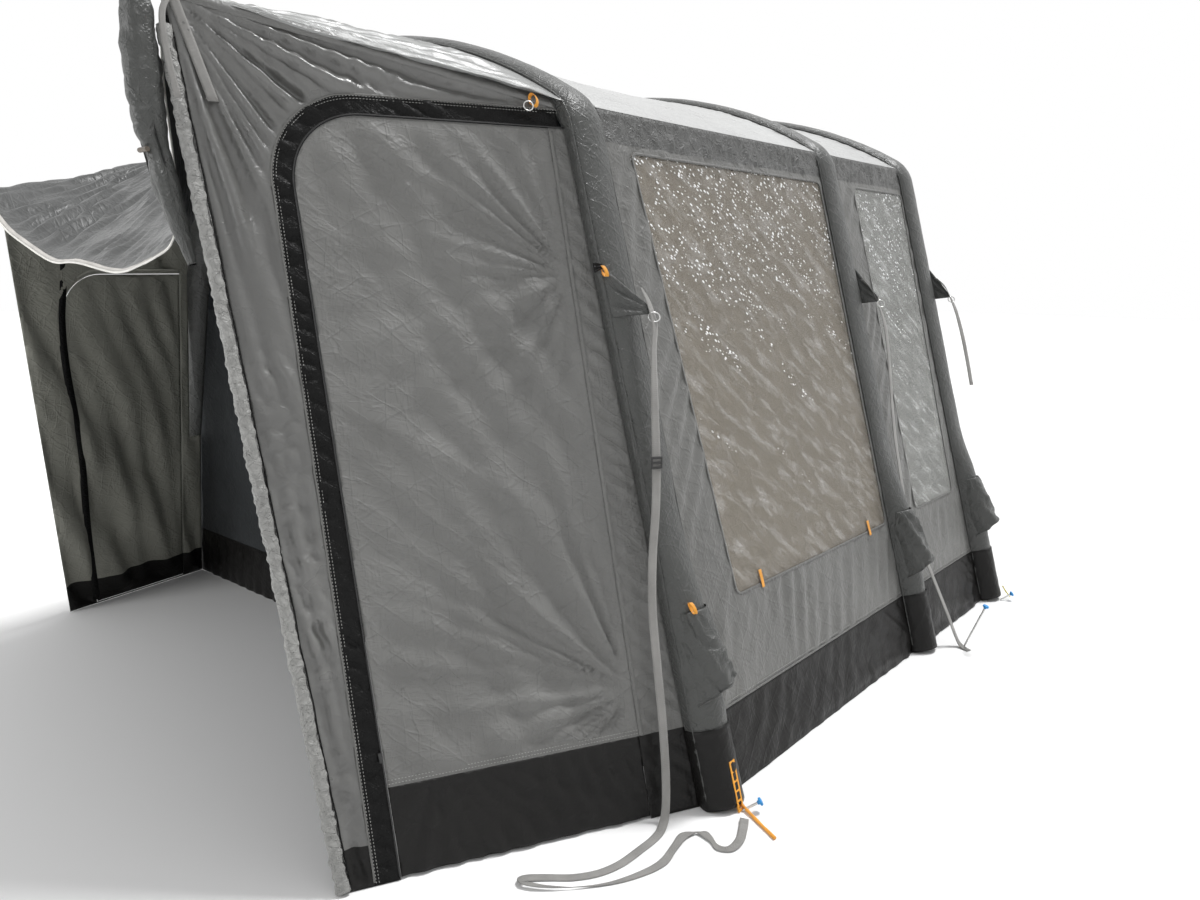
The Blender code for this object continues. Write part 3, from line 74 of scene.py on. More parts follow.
# %% Driving sizes, in metres
MM = 0.001
ARCH_HALF_SPAN = 1.084
EAVE_HEIGHT = 1.95
CROWN_HEIGHT = 2.24
LEG_LEAN = 0.543
KNEE_RADIUS = 0.14
BEAM_RADIUS = 62 * MM
SLEEVE_RADIUS = 64.3 * MM
SLEEVE_CLEAR = SLEEVE_RADIUS + 1 * MM
MUD_HEIGHT = 0.225
WINDOW_SILL = 0.515
WINDOW_HEAD = 1.83
SEAM_GAP = 2 * MM
HINGE_PLAY = 0.5 * MM
SEAM_PLAY = 0.3 * MM
CLOTH = 1 * MM
GROUND = 1.5 * MM
TUNNEL_DEPTH = 0.924
TUNNEL_DRAW_IN = 0.464
HELD_CORNER_HEIGHT = 2.15
DOOR_FOOT = 0.91
DOOR_SHOULDER = 0.824
DOOR_TOP = 1.88
DOOR_RADIUS = 0.20
HINGE_FOOT = 0.22
HINGE_HEAD = 0.115
ZIP_BAND = 52 * MM
FAR_INSET = 0.164
FAR_DEPTH = 0.66
FAR_DRAW_IN = 0.13
FAR_LEAN = 0.15
FAR_CORNER_HEIGHT = 1.76
FAR_CORNER_REACH = 0.855
FAR_EDGE_FOOT = 0.672
FAR_EAVE_HEIGHT = 1.86
FAR_HINGE = 0.11
FAR_DOOR_FOOT = 0.55
FAR_DOOR_SHOULDER = 0.64
FAR_DOOR_TOP = 1.46
FAR_DOOR_RADIUS = 0.16
DOOR_LIFT = 8 * MM
FOOT_X = ARCH_HALF_SPAN + LEG_LEAN
ROOF_RISE = CROWN_HEIGHT - EAVE_HEIGHT
ROOF_RADIUS = (ARCH_HALF_SPAN**2 + ROOF_RISE**2) / (2 * ROOF_RISE)
ROOF_HALF_ANGLE = math.asin(ARCH_HALF_SPAN / ROOF_RADIUS)
LEAN_ANGLE = math.atan2(LEG_LEAN, EAVE_HEIGHT)
TUNNEL_LENGTH = math.hypot(TUNNEL_DRAW_IN, TUNNEL_DEPTH)
ARCH_NAMES = ("rear", "middle", "front")
ARCH_Y = {}
for arch_name in ARCH_NAMES:
    low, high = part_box("beam_sleeve_" + arch_name)
    ARCH_Y[arch_name] = (low.y + high.y) / 2
REAR = ARCH_Y["rear"]
print("arches at", {name: round(y, 3) for name, y in ARCH_Y.items()})

# %% [markdown]
# ## The camera
# The photograph's camera was worked out from the arches' legs, the wall edges and the horizon. It stands
# at eye height beside the tunnel and looks along the long side, a little down.

# %% Camera
CAMERA_PLACE = Vector((2.909, REAR - 2.032, 1.5))
CAMERA_YAW = math.radians(40.671)
CAMERA_PITCH = math.radians(11.286)
CAMERA_ROLL = math.radians(0.366)
CAMERA_LENS_MM = 27.48
CAMERA_SENSOR_MM = 36

ahead = Vector(
    (
        -math.sin(CAMERA_YAW) * math.cos(CAMERA_PITCH),
        math.cos(CAMERA_YAW) * math.cos(CAMERA_PITCH),
        -math.sin(CAMERA_PITCH),
    )
)
level = Vector((math.cos(CAMERA_YAW), math.sin(CAMERA_YAW), 0))
upright = level.cross(ahead)
right = level * math.cos(CAMERA_ROLL) + upright * math.sin(CAMERA_ROLL)
camera_axes = Matrix((right, right.cross(ahead), -ahead)).transposed().to_4x4()
camera_data = bpy.data.cameras.new("camera")
camera_data.lens = CAMERA_LENS_MM
camera_data.sensor_width = CAMERA_SENSOR_MM
camera = bpy.data.objects.new("camera", camera_data)
camera.matrix_world = Matrix.Translation(CAMERA_PLACE) @ camera_axes
bpy.context.scene.collection.objects.link(camera)
bpy.context.scene.camera = camera
print("camera at", [round(part, 3) for part in camera.location])

# %% [markdown]
# ## The lines that the cloth follows
# A cloth panel is drawn flat, as a pattern cutter draws it, and then laid on a line or surface of the
# awning. So each part of the awning gets a small function that turns two flat measures and a distance
# outwards into a place: a leaning side wall, the arched roof, the two tunnel walls and the upright ends.


# %% Places on the awning
def on_side(side, y, height, outward=0.0):
    """A place on a side wall: side is 1 near and -1 far."""
    x = FOOT_X - LEG_LEAN * height / EAVE_HEIGHT + outward * math.cos(LEAN_ANGLE)
    return Vector((side * x, y, height + outward * math.sin(LEAN_ANGLE)))


def on_roof(angle, y, outward=0.0):
    """A place on the roof's arc, where an angle of zero is the crown."""
    radius = ROOF_RADIUS + outward
    return Vector((radius * math.sin(angle), y, CROWN_HEIGHT - ROOF_RADIUS + radius * math.cos(angle)))


def looking_out(way, side=1):
    """A direction, turned about if it looks in on its side of the awning."""
    return -way if way.x * side < 0 else way


def on_leaning_plane(start, along, lean, side, distance, height, outward):
    out = looking_out(lean.cross(along).normalized(), side)
    return start + along * distance + lean * height + out * outward


def near_tunnel(distance, height, outward=0.0):
    """A place on the near tunnel wall: distance runs from the rear arch towards the van."""
    start = Vector((FOOT_X, REAR, 0))
    along = Vector((-TUNNEL_DRAW_IN, -TUNNEL_DEPTH, 0)).normalized()
    lean = Vector((-LEG_LEAN / EAVE_HEIGHT, 0, 1))
    return on_leaning_plane(start, along, lean, 1, distance, height, outward)


def far_tunnel(distance, height, outward=0.0):
    """A place on the far tunnel wall, which is slack and more upright."""
    start = Vector((FAR_INSET - FOOT_X, REAR, 0))
    along = Vector((FAR_DRAW_IN, -FAR_DEPTH, 0)).normalized()
    lean = Vector((FAR_LEAN, 0, 1))
    return on_leaning_plane(start, along, lean, -1, distance, height, outward)


def round_corner(before, corner, after, radius, steps):
    """The points of an arc that replaces a corner of a line."""
    back = (before - corner).normalized()
    onward = (after - corner).normalized()
    half = back.angle(onward) / 2
    reach = radius / math.tan(half)
    centre = corner + (back + onward).normalized() * radius / math.sin(half)
    first = corner + back * reach - centre
    last = corner + onward * reach - centre
    return [centre + first.slerp(last, step / steps).normalized() * radius for step in range(steps + 1)]


def quarter(centre, radius, steps):
    """A quarter of a circle on a flat pattern, from beside its centre to above it."""
    points = []
    for step in range(steps + 1):
        angle = math.pi / 2 * step / steps
        points.append((centre[0] + radius * math.cos(angle), centre[1] + radius * math.sin(angle)))
    return points


def arch_line(y, foot=0.0):
    """The centre line of an arch from its near foot to its far one."""
    roof_steps = 28
    near = [on_side(1, y, foot)]
    arc = [on_roof(ROOF_HALF_ANGLE * (1 - 2 * step / roof_steps), y) for step in range(2, roof_steps - 1)]
    near += round_corner(near[0], on_side(1, y, EAVE_HEIGHT), arc[0], KNEE_RADIUS, 8)
    far = [Vector((-point.x, point.y, point.z)) for point in reversed(near)]
    return near + arc + far


def line_steps(points):
    """How far along a line each of its points lies."""
    return np.cumsum([0.0] + [(b - a).length for a, b in zip(points, points[1:])]).tolist()


def evenly(points, spacing):
    """The same line with points at even distances along it."""
    lengths = line_steps(points)
    count = max(2, round(lengths[-1] / spacing) + 1)
    places = np.linspace(0, lengths[-1], count)
    table = np.array([list(point) for point in points])
    columns = [np.interp(places, lengths, table[:, axis]) for axis in range(table.shape[1])]
    return [Vector(row) for row in zip(*columns)]


def smooth_line(points, pieces=6):
    """A Catmull-Rom curve through points."""
    ends = [points[0] * 2 - points[1], *points, points[-1] * 2 - points[-2]]
    line = []
    for index in range(1, len(ends) - 2):
        before, start, end, after = ends[index - 1 : index + 3]
        for step in range(pieces):
            t = step / pieces
            line.append(
                0.5
                * (
                    2 * start
                    + (end - before) * t
                    + (2 * before - 5 * start + 4 * end - after) * t**2
                    + (3 * start - before - 3 * end + after) * t**3
                )
            )
    line.append(points[-1].copy())
    return line


print("arch line:", round(line_steps(arch_line(0))[-1], 3), "m")

# %% [markdown]
# ## Folds
# Real awning cloth is never flat. It has been packed, so it carries a net of straight creases; it is
# pulled at its corners, so folds run out from them; and where it is slack it hangs in soft waves. Each is
# a small formula on the flat pattern that gives how far the cloth stands out, and each panel adds up the
# ones it needs. The noise starts from a fixed seed, so each run gives the same folds.

# %% Fold formulas
NOISE_SEED = 1
noise.seed_set(NOISE_SEED)


def packed(u, v, cell, seed):
    """Shallow facets that meet in straight creases, from 0 at a crease to about 1."""
    place = Vector((u / cell, v / cell, seed * 3.7))
    place += 0.3 * noise.noise_vector(place * 0.6)
    nearest = noise.voronoi(place)[0]
    return min(1.0, 1.6 * (nearest[1] - nearest[0]))


def creased(u, v, cell, seed):
    """The same facets, from -0.5 to about 0.5."""
    return packed(u, v, cell, seed) - 0.5


def wander(u, v, size, seed):
    """Slow random swells from about -1 to 1."""
    return noise.noise(Vector((u / size, v / size, seed * 5.3)))


def waves(u, v, turn, length, seed):
    """Parallel soft folds that run along a turn in degrees, and wander and fade in and out."""
    turn = math.radians(turn)
    across = -u * math.sin(turn) + v * math.cos(turn)
    along = u * math.cos(turn) + v * math.sin(turn)
    drift = noise.noise(Vector((along / (5 * length), across / (6 * length), seed)))
    swell = noise.noise(Vector((along / (4 * length), across / (3 * length), seed + 40)))
    return math.sin(2 * math.pi * across / length + 5 * drift) * max(0.0, min(1.0, 0.55 + 1.2 * swell))


def pulled(u, v, spot, rays, reach, seed):
    """Folds that run out from a spot where the cloth is pulled."""
    du = u - spot[0]
    dv = v - spot[1]
    far = math.hypot(du, dv)
    angle = math.atan2(dv, du)
    ray = noise.noise(Vector((angle * rays, far / reach * 0.6, seed * 2.9)))
    return ray * min(1.0, far / (0.25 * reach)) * math.exp(-far / reach)


def eased(share):
    share = max(0.0, min(1.0, share))
    return share * share * (3 - 2 * share)


print("creases at one spot:", round(packed(0.3, 0.4, 0.1, 1), 3))

# %% [markdown]
# ## Cutting cloth
# A panel starts as a grid of small squares, is cut by planes along its outline, its holes and its seams,
# and loses what lies outside. That gives even squares for the folds to bend, and clean edges. Its flat
# measures are kept as its UV map in metres, so that the weave follows the cloth. Then each point is laid
# in place, the folds fading out at the edges that are sewn, and Solidify gives the cloth its thickness.


# %% Cutting and laying cloth
def cut_along(bm, first, second, cell):
    """Cuts the squares near a straight stretch, along it."""
    low_u = min(first[0], second[0]) - cell
    high_u = max(first[0], second[0]) + cell
    low_v = min(first[1], second[1]) - cell
    high_v = max(first[1], second[1]) + cell
    near = []
    for face in bm.faces:
        u, v, _ = face.verts[0].co
        if low_u <= u <= high_u and low_v <= v <= high_v:
            near.append(face)
    normal = (first[1] - second[1], second[0] - first[0], 0)
    if near and any(normal):
        edges = {edge for face in near for edge in face.edges}
        verts = {vert for face in near for vert in face.verts}
        bmesh.ops.bisect_plane(
            bm, geom=[*verts, *edges, *near], dist=0.00001, plane_co=(*first, 0), plane_no=normal
        )


def inside(loop, points):
    """Which points lie inside a closed outline."""
    corners = np.array([tuple(corner[:2]) for corner in loop])
    after = np.roll(corners, -1, axis=0)
    x, y = points[:, 0:1], points[:, 1:2]
    crosses = (corners[:, 1] > y) != (after[:, 1] > y)
    rise = np.where(after[:, 1] == corners[:, 1], 1, after[:, 1] - corners[:, 1])
    meets = corners[:, 0] + (y - corners[:, 1]) * (after[:, 0] - corners[:, 0]) / rise
    return (crosses & (x < meets)).sum(axis=1) % 2 == 1


def from_lines(loops, points):
    """Each point's distance from the nearest of some outlines."""
    best = np.full(len(points), np.inf)
    for loop in loops:
        for first, second in zip(loop, [*loop[1:], loop[0]]):
            start = np.array(first[:2], float)
            run = np.array(second[:2], float) - start
            share = np.clip((points - start) @ run / max(run @ run, 1e-12), 0, 1)
            best = np.minimum(best, np.linalg.norm(points - start - share[:, None] * run, axis=1))
    return best


def flat_area(loop):
    return abs(sum(a[0] * b[1] - b[0] * a[1] for a, b in zip(loop, [*loop[1:], loop[0]]))) / 2


def cut_cloth(outline, holes, cell):
    """A flat panel cut out of a grid of squares."""
    corners = np.array([tuple(corner[:2]) for corner in outline])
    low, high = corners.min(axis=0), corners.max(axis=0)
    size = high - low
    bm = bmesh.new()
    bmesh.ops.create_grid(
        bm, x_segments=math.ceil(size[0] / cell), y_segments=math.ceil(size[1] / cell), size=0.5
    )
    bmesh.ops.scale(bm, verts=bm.verts, vec=(size[0], size[1], 1))
    bmesh.ops.translate(bm, verts=bm.verts, vec=(*((low + high) / 2), 0))
    for loop in (outline, *holes):
        for first, second in zip(loop, [*loop[1:], loop[0]]):
            cut_along(bm, first[:2], second[:2], 2 * cell)
    middles = np.array([tuple(face.calc_center_median()[:2]) for face in bm.faces])
    kept = inside(outline, middles)
    for hole in holes:
        kept &= ~inside(hole, middles)
    outside = [face for face, keep in zip(bm.faces, kept) if not keep]
    bmesh.ops.delete(bm, geom=outside, context="FACES")
    return bm


# The record's slot of each finish that isn't named after its slot
OTHER_SLOTS = {
    "frame_cloth": "wall_cloth",
    "pad_cloth": "wall_cloth",
    "tunnel_roof_cloth": "roof_cloth",
    "partition_cloth": "inner_cloth",
    "rained_film": "clear_film",
    "orange_webbing": "orange_rubber",
    "binding_tape": "bead_plastic",
    "thread": "webbing",
    "yellow_cord": "webbing",
}
finish_slots = {}


def add_piece(name, bm, finish, body, nodes=(), thickness=CLOTH, slot=None):
    """Makes an object of a mesh, gives it thickness and a finish, and lets it ride on its body."""
    mesh = bpy.data.meshes.new(name)
    bm.to_mesh(mesh)
    bm.free()
    mesh.materials.append(finish)
    mesh.shade_smooth()
    piece = bpy.data.objects.new(name, mesh)
    bpy.context.scene.collection.objects.link(piece)
    if thickness:
        solid = piece.modifiers.new("Thickness", "SOLIDIFY")
        solid.thickness = thickness
        solid.offset = 0
    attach(piece, body)
    if nodes:
        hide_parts(*nodes)
    slot or finish_slots[finish.name]
    return piece


def keep_flat_measures(bm, flat=(1, 1)):
    """Writes each corner's flat place, in metres, as the piece's UV map."""
    measures = bm.loops.layers.uv.new("UVMap")
    for face in bm.faces:
        for loop in face.loops:
            loop[measures].uv = (loop.vert.co.x * flat[0], loop.vert.co.y * flat[1])


def unit_grid(columns, rows, flat):
    """A grid from 0 to 1 both ways, for a strip of cloth of this flat size."""
    bm = bmesh.new()
    bmesh.ops.create_grid(bm, x_segments=columns, y_segments=rows, size=0.5)
    bmesh.ops.translate(bm, verts=bm.verts, vec=(0.5, 0.5, 0))
    keep_flat_measures(bm, flat)
    return bm


def lay(bm, place, folds, sewn, fade):
    """Lays a flat panel in place, with folds that fade out along its sewn lines."""
    flat = np.array([tuple(vert.co[:2]) for vert in bm.verts])
    shares = np.clip(from_lines(sewn, flat) / fade, 0, 1) if sewn else np.ones(len(flat))
    for vert, share in zip(bm.verts, shares):
        u, v, _ = vert.co
        vert.co = place(u, v, folds(u, v) * eased(share))


def panel(name, outline, place, folds, finish, nodes, body="awning", holes=(), sewn=None, fade=0.05,
          cell=0.014, bands=(), slot=None):
    """A cloth panel, cut and laid, and its size printed. Each band is a stretch of height with another
    cloth.
    """
    bm = cut_cloth(outline, holes, cell)
    wide = [corner[0] for corner in outline]
    for index, (low, high, _) in enumerate(bands):
        for height in (low, high):
            cut_along(bm, (min(wide), height), (max(wide), height), 2 * cell)
        for face in bm.faces:
            if low < face.calc_center_median().y < high:
                face.material_index = index + 1
    keep_flat_measures(bm)
    lay(bm, place, folds, [outline, *holes] if sewn is None else sewn, fade)
    piece = add_piece(name, bm, finish, body, nodes, slot=slot)
    for *_, band_finish in bands:
        piece.data.materials.append(band_finish)
    corners = np.array([tuple(corner[:2]) for corner in outline])
    width, length = corners.max(axis=0) - corners.min(axis=0)
    area = flat_area(outline) - sum(flat_area(hole) for hole in holes)
    # An open frame covers little of its own rectangle, so its cut is given as a strip of its area
    if area < 0.3 * width * length:
        width = area / length
    faces = len(piece.data.polygons)
    print(f"{name}: {width:.2f} by {length:.2f} m, {area:.2f} square metres, {faces} faces")
    return piece


def grid_cloth(name, columns, rows, place, finish, nodes, flat, body="awning",
               closed=False, declare=True, thickness=CLOTH, slot=None):
    """A sheet made from a grid, whose place comes from two shares from 0 to 1."""
    bm = unit_grid(columns, rows, flat)
    for vert in bm.verts:
        vert.co = place(vert.co.x, vert.co.y)
    if closed:
        bmesh.ops.remove_doubles(bm, verts=bm.verts, dist=0.00005)
    piece = add_piece(name, bm, finish, body, nodes, thickness, slot)
    if declare:
        print(f"{name}: {flat[0]:.2f} by {flat[1]:.2f} m, {len(piece.data.polygons)} faces")
    return piece


print("cloth is cut at", CLOTH / MM, "mm")

# %% [markdown]
# ## Finishes for cloth
# The awning's cloth is coated polyester: a fine plain weave under a slightly shiny coating. The finish
# has a slow change of tone, a net of small creases as bump, a fine weave, and a roughness that varies a
# little, so that folds catch soft highlights. The same recipe, with other numbers, serves every cloth.


# %% Cloth finish
def new_finish(name, colour, roughness):
    """A material with its shader set and nothing linked yet."""
    material = bpy.data.materials.new(name)
    material.use_nodes = True
    shader = material.node_tree.nodes["Principled BSDF"]
    shader.inputs["Base Color"].default_value = (*colour, 1)
    shader.inputs["Roughness"].default_value = roughness
    finish_slots[material.name] = OTHER_SLOTS.get(name, name)
    return material, material.node_tree, shader


def add_noise(tree, source, scale, detail=3.0, rough=0.5):
    texture = tree.nodes.new("ShaderNodeTexNoise")
    texture.inputs["Scale"].default_value = scale
    texture.inputs["Detail"].default_value = detail
    texture.inputs["Roughness"].default_value = rough
    tree.links.new(source, texture.inputs["Vector"])
    return texture.outputs["Fac"]


def add_range(tree, source, low, high, to_low, to_high):
    node = tree.nodes.new("ShaderNodeMapRange")
    for name, value in (("From Min", low), ("From Max", high), ("To Min", to_low), ("To Max", to_high)):
        node.inputs[name].default_value = value
    tree.links.new(source, node.inputs["Value"])
    return node.outputs["Result"]


def add_bump(tree, height, distance, strength, normal=None):
    node = tree.nodes.new("ShaderNodeBump")
    node.inputs["Distance"].default_value = distance
    node.inputs["Strength"].default_value = strength
    tree.links.new(height, node.inputs["Height"])
    if normal is not None:
        tree.links.new(normal, node.inputs["Normal"])
    return node.outputs["Normal"]


def vary_colour(tree, shader, colour, value):
    """Makes the colour lighter and darker with a value round 1."""
    node = tree.nodes.new("ShaderNodeHueSaturation")
    node.inputs["Color"].default_value = (*colour, 1)
    tree.links.new(value, node.inputs["Value"])
    tree.links.new(node.outputs["Color"], shader.inputs["Base Color"])


def add_slanted(tree, source, along, across, turn):
    """Flat measures turned to run along a direction, and stretched by two scales."""
    turned = tree.nodes.new("ShaderNodeMapping")
    turned.inputs["Rotation"].default_value = (0, 0, turn)
    stretched = tree.nodes.new("ShaderNodeMapping")
    stretched.inputs["Scale"].default_value = (along, across, 1)
    tree.links.new(source, turned.inputs["Vector"])
    tree.links.new(turned.outputs["Vector"], stretched.inputs["Vector"])
    return stretched.outputs["Vector"]


def add_math(tree, operation, first, second):
    node = tree.nodes.new("ShaderNodeMath")
    node.operation = operation
    for socket, value in zip(node.inputs, (first, second)):
        if isinstance(value, float):
            socket.default_value = value
        else:
            tree.links.new(value, socket)
    return node.outputs["Value"]


# Ways that creases run, in degrees, and how close they lie
CREASE_DIRECTIONS = ((28, 0.5), (-41, 0.6), (84, 0.7), (-8, 1.2), (55, 1.5))
CREASE_STRETCH = 3.6
WEAVE_SCALE = 240.0


def cloth_finish(name, colour, roughness=0.5, tone=0.12, crease=0.5, crease_scale=7.0, sheen=0.15,
                 shine=0.4):
    material, tree, shader = new_finish(name, colour, roughness)
    shader.inputs["Specular IOR Level"].default_value = shine
    shader.inputs["Sheen Weight"].default_value = sheen
    shader.inputs["Sheen Roughness"].default_value = 0.4
    source = tree.nodes.new("ShaderNodeTexCoord").outputs["UV"]
    slow = add_noise(tree, source, 2.3, 4)
    vary_colour(tree, shader, colour, add_range(tree, slow, 0.3, 0.7, 1 - tone, 1 + tone))
    patch = add_noise(tree, source, 9.0, 3)
    rough = add_range(tree, patch, 0.3, 0.7, roughness - 0.09, roughness + 0.09)
    tree.links.new(rough, shader.inputs["Roughness"])

    weave = []
    for direction in ("X", "Y"):
        wave = tree.nodes.new("ShaderNodeTexWave")
        wave.bands_direction = direction
        wave.inputs["Scale"].default_value = WEAVE_SCALE
        tree.links.new(source, wave.inputs["Vector"])
        weave.append(wave.outputs["Fac"])
    normal = add_bump(tree, add_math(tree, "ADD", *weave), 0.00012, 0.35)

    for turn, scale in CREASE_DIRECTIONS:
        size = scale * crease_scale
        streaks = add_slanted(tree, source, size, size * CREASE_STRETCH, math.radians(turn))
        fold = add_noise(tree, streaks, 1.0, 3, 0.55)
        ridge = add_math(tree, "ABSOLUTE", add_math(tree, "SUBTRACT", fold, 0.5), 0.0)
        line = add_range(tree, ridge, 0.0, 0.045, 1.0, 0.0)
        normal = add_bump(tree, line, 0.0009 / scale, crease, normal)
    grain = add_noise(tree, source, 26.0, 3, 0.5)
    normal = add_bump(tree, grain, 0.0012, 0.4 * crease + 0.1, normal)
    tree.links.new(normal, shader.inputs["Normal"])
    return material


WALL_GREY = (0.135, 0.135, 0.129)
DOOR_GREY = (0.172, 0.172, 0.166)
FRAME_GREY = (0.118, 0.118, 0.113)
HEADER_GREY = (0.085, 0.086, 0.083)
SLEEVE_GREY = (0.062, 0.064, 0.061)
# The roof's own pale grey, made paler still so that its colour paints the bright sheen on the roof's top.
ROOF_GREY_AND_PAINTED_SHEEN = (0.50, 0.505, 0.50)
# The tunnel roof's fan is a paler copy of the tunnel roof's grey: painted sheen where the fan catches the
# light.
FAN_PAINTED_SHEEN_GREY = (0.30, 0.305, 0.30)
TUNNEL_ROOF_GREY = (0.070, 0.072, 0.071)
MUD_BLACK = (0.010, 0.0095, 0.009)
ZIP_BLACK = (0.007, 0.007, 0.007)
INNER_OLIVE = (0.27, 0.27, 0.235)
PARTITION_GREY = (0.022, 0.025, 0.028)
PARTITION_PALE = (0.040, 0.043, 0.045)
BLIND_TAUPE = (0.215, 0.190, 0.150)
PAD_GREY = (0.27, 0.27, 0.26)

wall_cloth = cloth_finish("wall_cloth", WALL_GREY, 0.42, 0.12, 0.6)
frame_cloth = cloth_finish("frame_cloth", FRAME_GREY, 0.34, 0.2, 0.35, 5.0, 0.1, 0.8)
header_cloth = cloth_finish("header_cloth", HEADER_GREY, 0.45, 0.15, 0.8, 16.0)
door_cloth = cloth_finish("door_cloth", DOOR_GREY, 0.55, 0.10, 0.75, 6.0, 0.15, 0.3)
sleeve_cloth = cloth_finish("sleeve_cloth", SLEEVE_GREY, 0.38, 0.14, 0.6, 9.0, 0.1, 0.45)
# Roof cloth whose colour holds both its own pale grey and painted sheen.
roof_cloth = cloth_finish("roof_cloth", ROOF_GREY_AND_PAINTED_SHEEN, 0.34, 0.08, 0.35, 4.0, 0.3)
# A paler copy of the tunnel roof's cloth, whose colour paints the fan's sheen.
fan_painted_sheen_cloth = cloth_finish("fan_painted_sheen_cloth", FAN_PAINTED_SHEEN_GREY, 0.32, 0.10, 0.2, 3.0, 0.1, 0.6)
tunnel_roof_cloth = cloth_finish("tunnel_roof_cloth", TUNNEL_ROOF_GREY, 0.4, 0.12, 0.6, 6.0)
mud_cloth = cloth_finish("mud_cloth", MUD_BLACK, 0.38, 0.25, 0.4, 5.0, 0.0, 0.2)
zip_cloth = cloth_finish("zip_cloth", ZIP_BLACK, 0.4, 0.2, 0.6, 14.0, 0.0, 0.12)
inner_cloth = cloth_finish("inner_cloth", INNER_OLIVE, 0.55, 0.16, 0.6, 6.0, 0.1, 0.2)
partition_cloth = cloth_finish("partition_cloth", PARTITION_GREY, 0.6, 0.15, 0.5, 6.0, 0.02, 0.1)
partition_foot = cloth_finish("partition_foot", PARTITION_PALE, 0.6, 0.15, 0.5, 6.0, 0.02, 0.1)
blind_cloth = cloth_finish("blind_cloth", BLIND_TAUPE, 0.6, 0.10, 0.6, 6.0)
pad_cloth = cloth_finish("pad_cloth", PAD_GREY, 0.4, 0.15, 0.8, 16.0, 0.2)
print("cloth finishes:", len([m for m in bpy.data.materials if m.name.endswith("_cloth")]))

# %% [markdown]
# ## Finishes for webbing, film and fittings
# Webbing is woven with a clear rib across it. The windows are clear film with a slight tint: where
# rain has dried, pale specks and runs show on it. Fittings are moulded plastic, rubber and plated steel,
# with a fine grain and a little wear.


# %% Other finishes
def webbing_finish(name, colour, roughness=0.75):
    material, tree, shader = new_finish(name, colour, roughness)
    source = tree.nodes.new("ShaderNodeTexCoord").outputs["UV"]
    ribs = tree.nodes.new("ShaderNodeTexWave")
    ribs.bands_direction = "Y"
    ribs.inputs["Scale"].default_value = 120.0
    ribs.inputs["Distortion"].default_value = 0.6
    tree.links.new(source, ribs.inputs["Vector"])
    soil = add_noise(tree, source, 14.0, 4)
    vary_colour(tree, shader, colour, add_range(tree, soil, 0.25, 0.75, 0.8, 1.2))
    normal = add_bump(tree, ribs.outputs["Fac"], 0.0006, 0.6)
    fuzz = add_noise(tree, source, 400.0, 2)
    tree.links.new(add_bump(tree, fuzz, 0.0004, 0.3, normal), shader.inputs["Normal"])
    shader.inputs["Sheen Weight"].default_value = 0.2
    return material


def moulded_finish(name, colour, roughness=0.4, metallic=0.0, grain=180.0):
    material, tree, shader = new_finish(name, colour, roughness)
    shader.inputs["Metallic"].default_value = metallic
    source = tree.nodes.new("ShaderNodeTexCoord").outputs["Object"]
    wear = add_noise(tree, source, 22.0, 4)
    vary_colour(tree, shader, colour, add_range(tree, wear, 0.3, 0.7, 0.88, 1.12))
    rough = add_range(tree, wear, 0.3, 0.7, roughness - 0.08, roughness + 0.12)
    tree.links.new(rough, shader.inputs["Roughness"])
    fine = add_noise(tree, source, grain, 2)
    tree.links.new(add_bump(tree, fine, 0.0003, 0.4), shader.inputs["Normal"])
    return material


STREAK_TURN = math.radians(36)


def film_finish(name, colour, clear, specks, roughness=0.12):
    """Clear film, with drops in slanting streaks near its head and pale scratches lower down."""
    material, tree, shader = new_finish(name, colour, roughness)
    source = tree.nodes.new("ShaderNodeTexCoord").outputs["UV"]
    split = tree.nodes.new("ShaderNodeSeparateXYZ")
    tree.links.new(source, split.inputs["Vector"])
    high = add_range(tree, split.outputs["Y"], 0.7, 1.8, 0.0, 0.3)
    drops = tree.nodes.new("ShaderNodeTexVoronoi")
    drops.inputs["Scale"].default_value = 1.0
    tree.links.new(add_slanted(tree, source, 62.0, 130.0, STREAK_TURN), drops.inputs["Vector"])
    shade = tree.nodes.new("ShaderNodeSeparateColor")
    tree.links.new(drops.outputs["Color"], shade.inputs["Color"])
    size = add_range(tree, shade.outputs["Red"], 0.3, 1.0, 0.0, 0.42)
    drop = add_math(tree, "LESS_THAN", drops.outputs["Distance"], size)
    streaks = add_noise(tree, add_slanted(tree, source, 1.6, 9.0, STREAK_TURN), 1.0, 4, 0.65)
    wet = add_math(tree, "ADD", streaks, high)
    where = add_range(tree, wet, specks, specks + 0.07, 0.0, 1.0)
    mask = add_math(tree, "MULTIPLY", drop, where)
    scratch = add_noise(tree, add_slanted(tree, source, 7.0, 24.0, STREAK_TURN), 1.0, 6, 0.75)
    pale = add_range(tree, scratch, 0.48, 0.78, 0.0, 0.5)
    mask = add_math(tree, "MAXIMUM", mask, pale)
    mix = tree.nodes.new("ShaderNodeMix")
    mix.data_type = "RGBA"
    mix.inputs["A"].default_value = (*colour, 1)
    mix.inputs["B"].default_value = (0.93, 0.94, 0.95, 1)
    tree.links.new(mask, mix.inputs["Factor"])
    tree.links.new(mix.outputs["Result"], shader.inputs["Base Color"])
    tree.links.new(add_range(tree, mask, 0.0, 1.0, clear, 0.95), shader.inputs["Alpha"])
    ripple = add_noise(tree, source, 12.0, 4)
    normal = add_bump(tree, ripple, 0.012, 0.6)
    normal = add_bump(tree, scratch, 0.008, 0.6, normal)
    tree.links.new(normal, shader.inputs["Normal"])
    return material


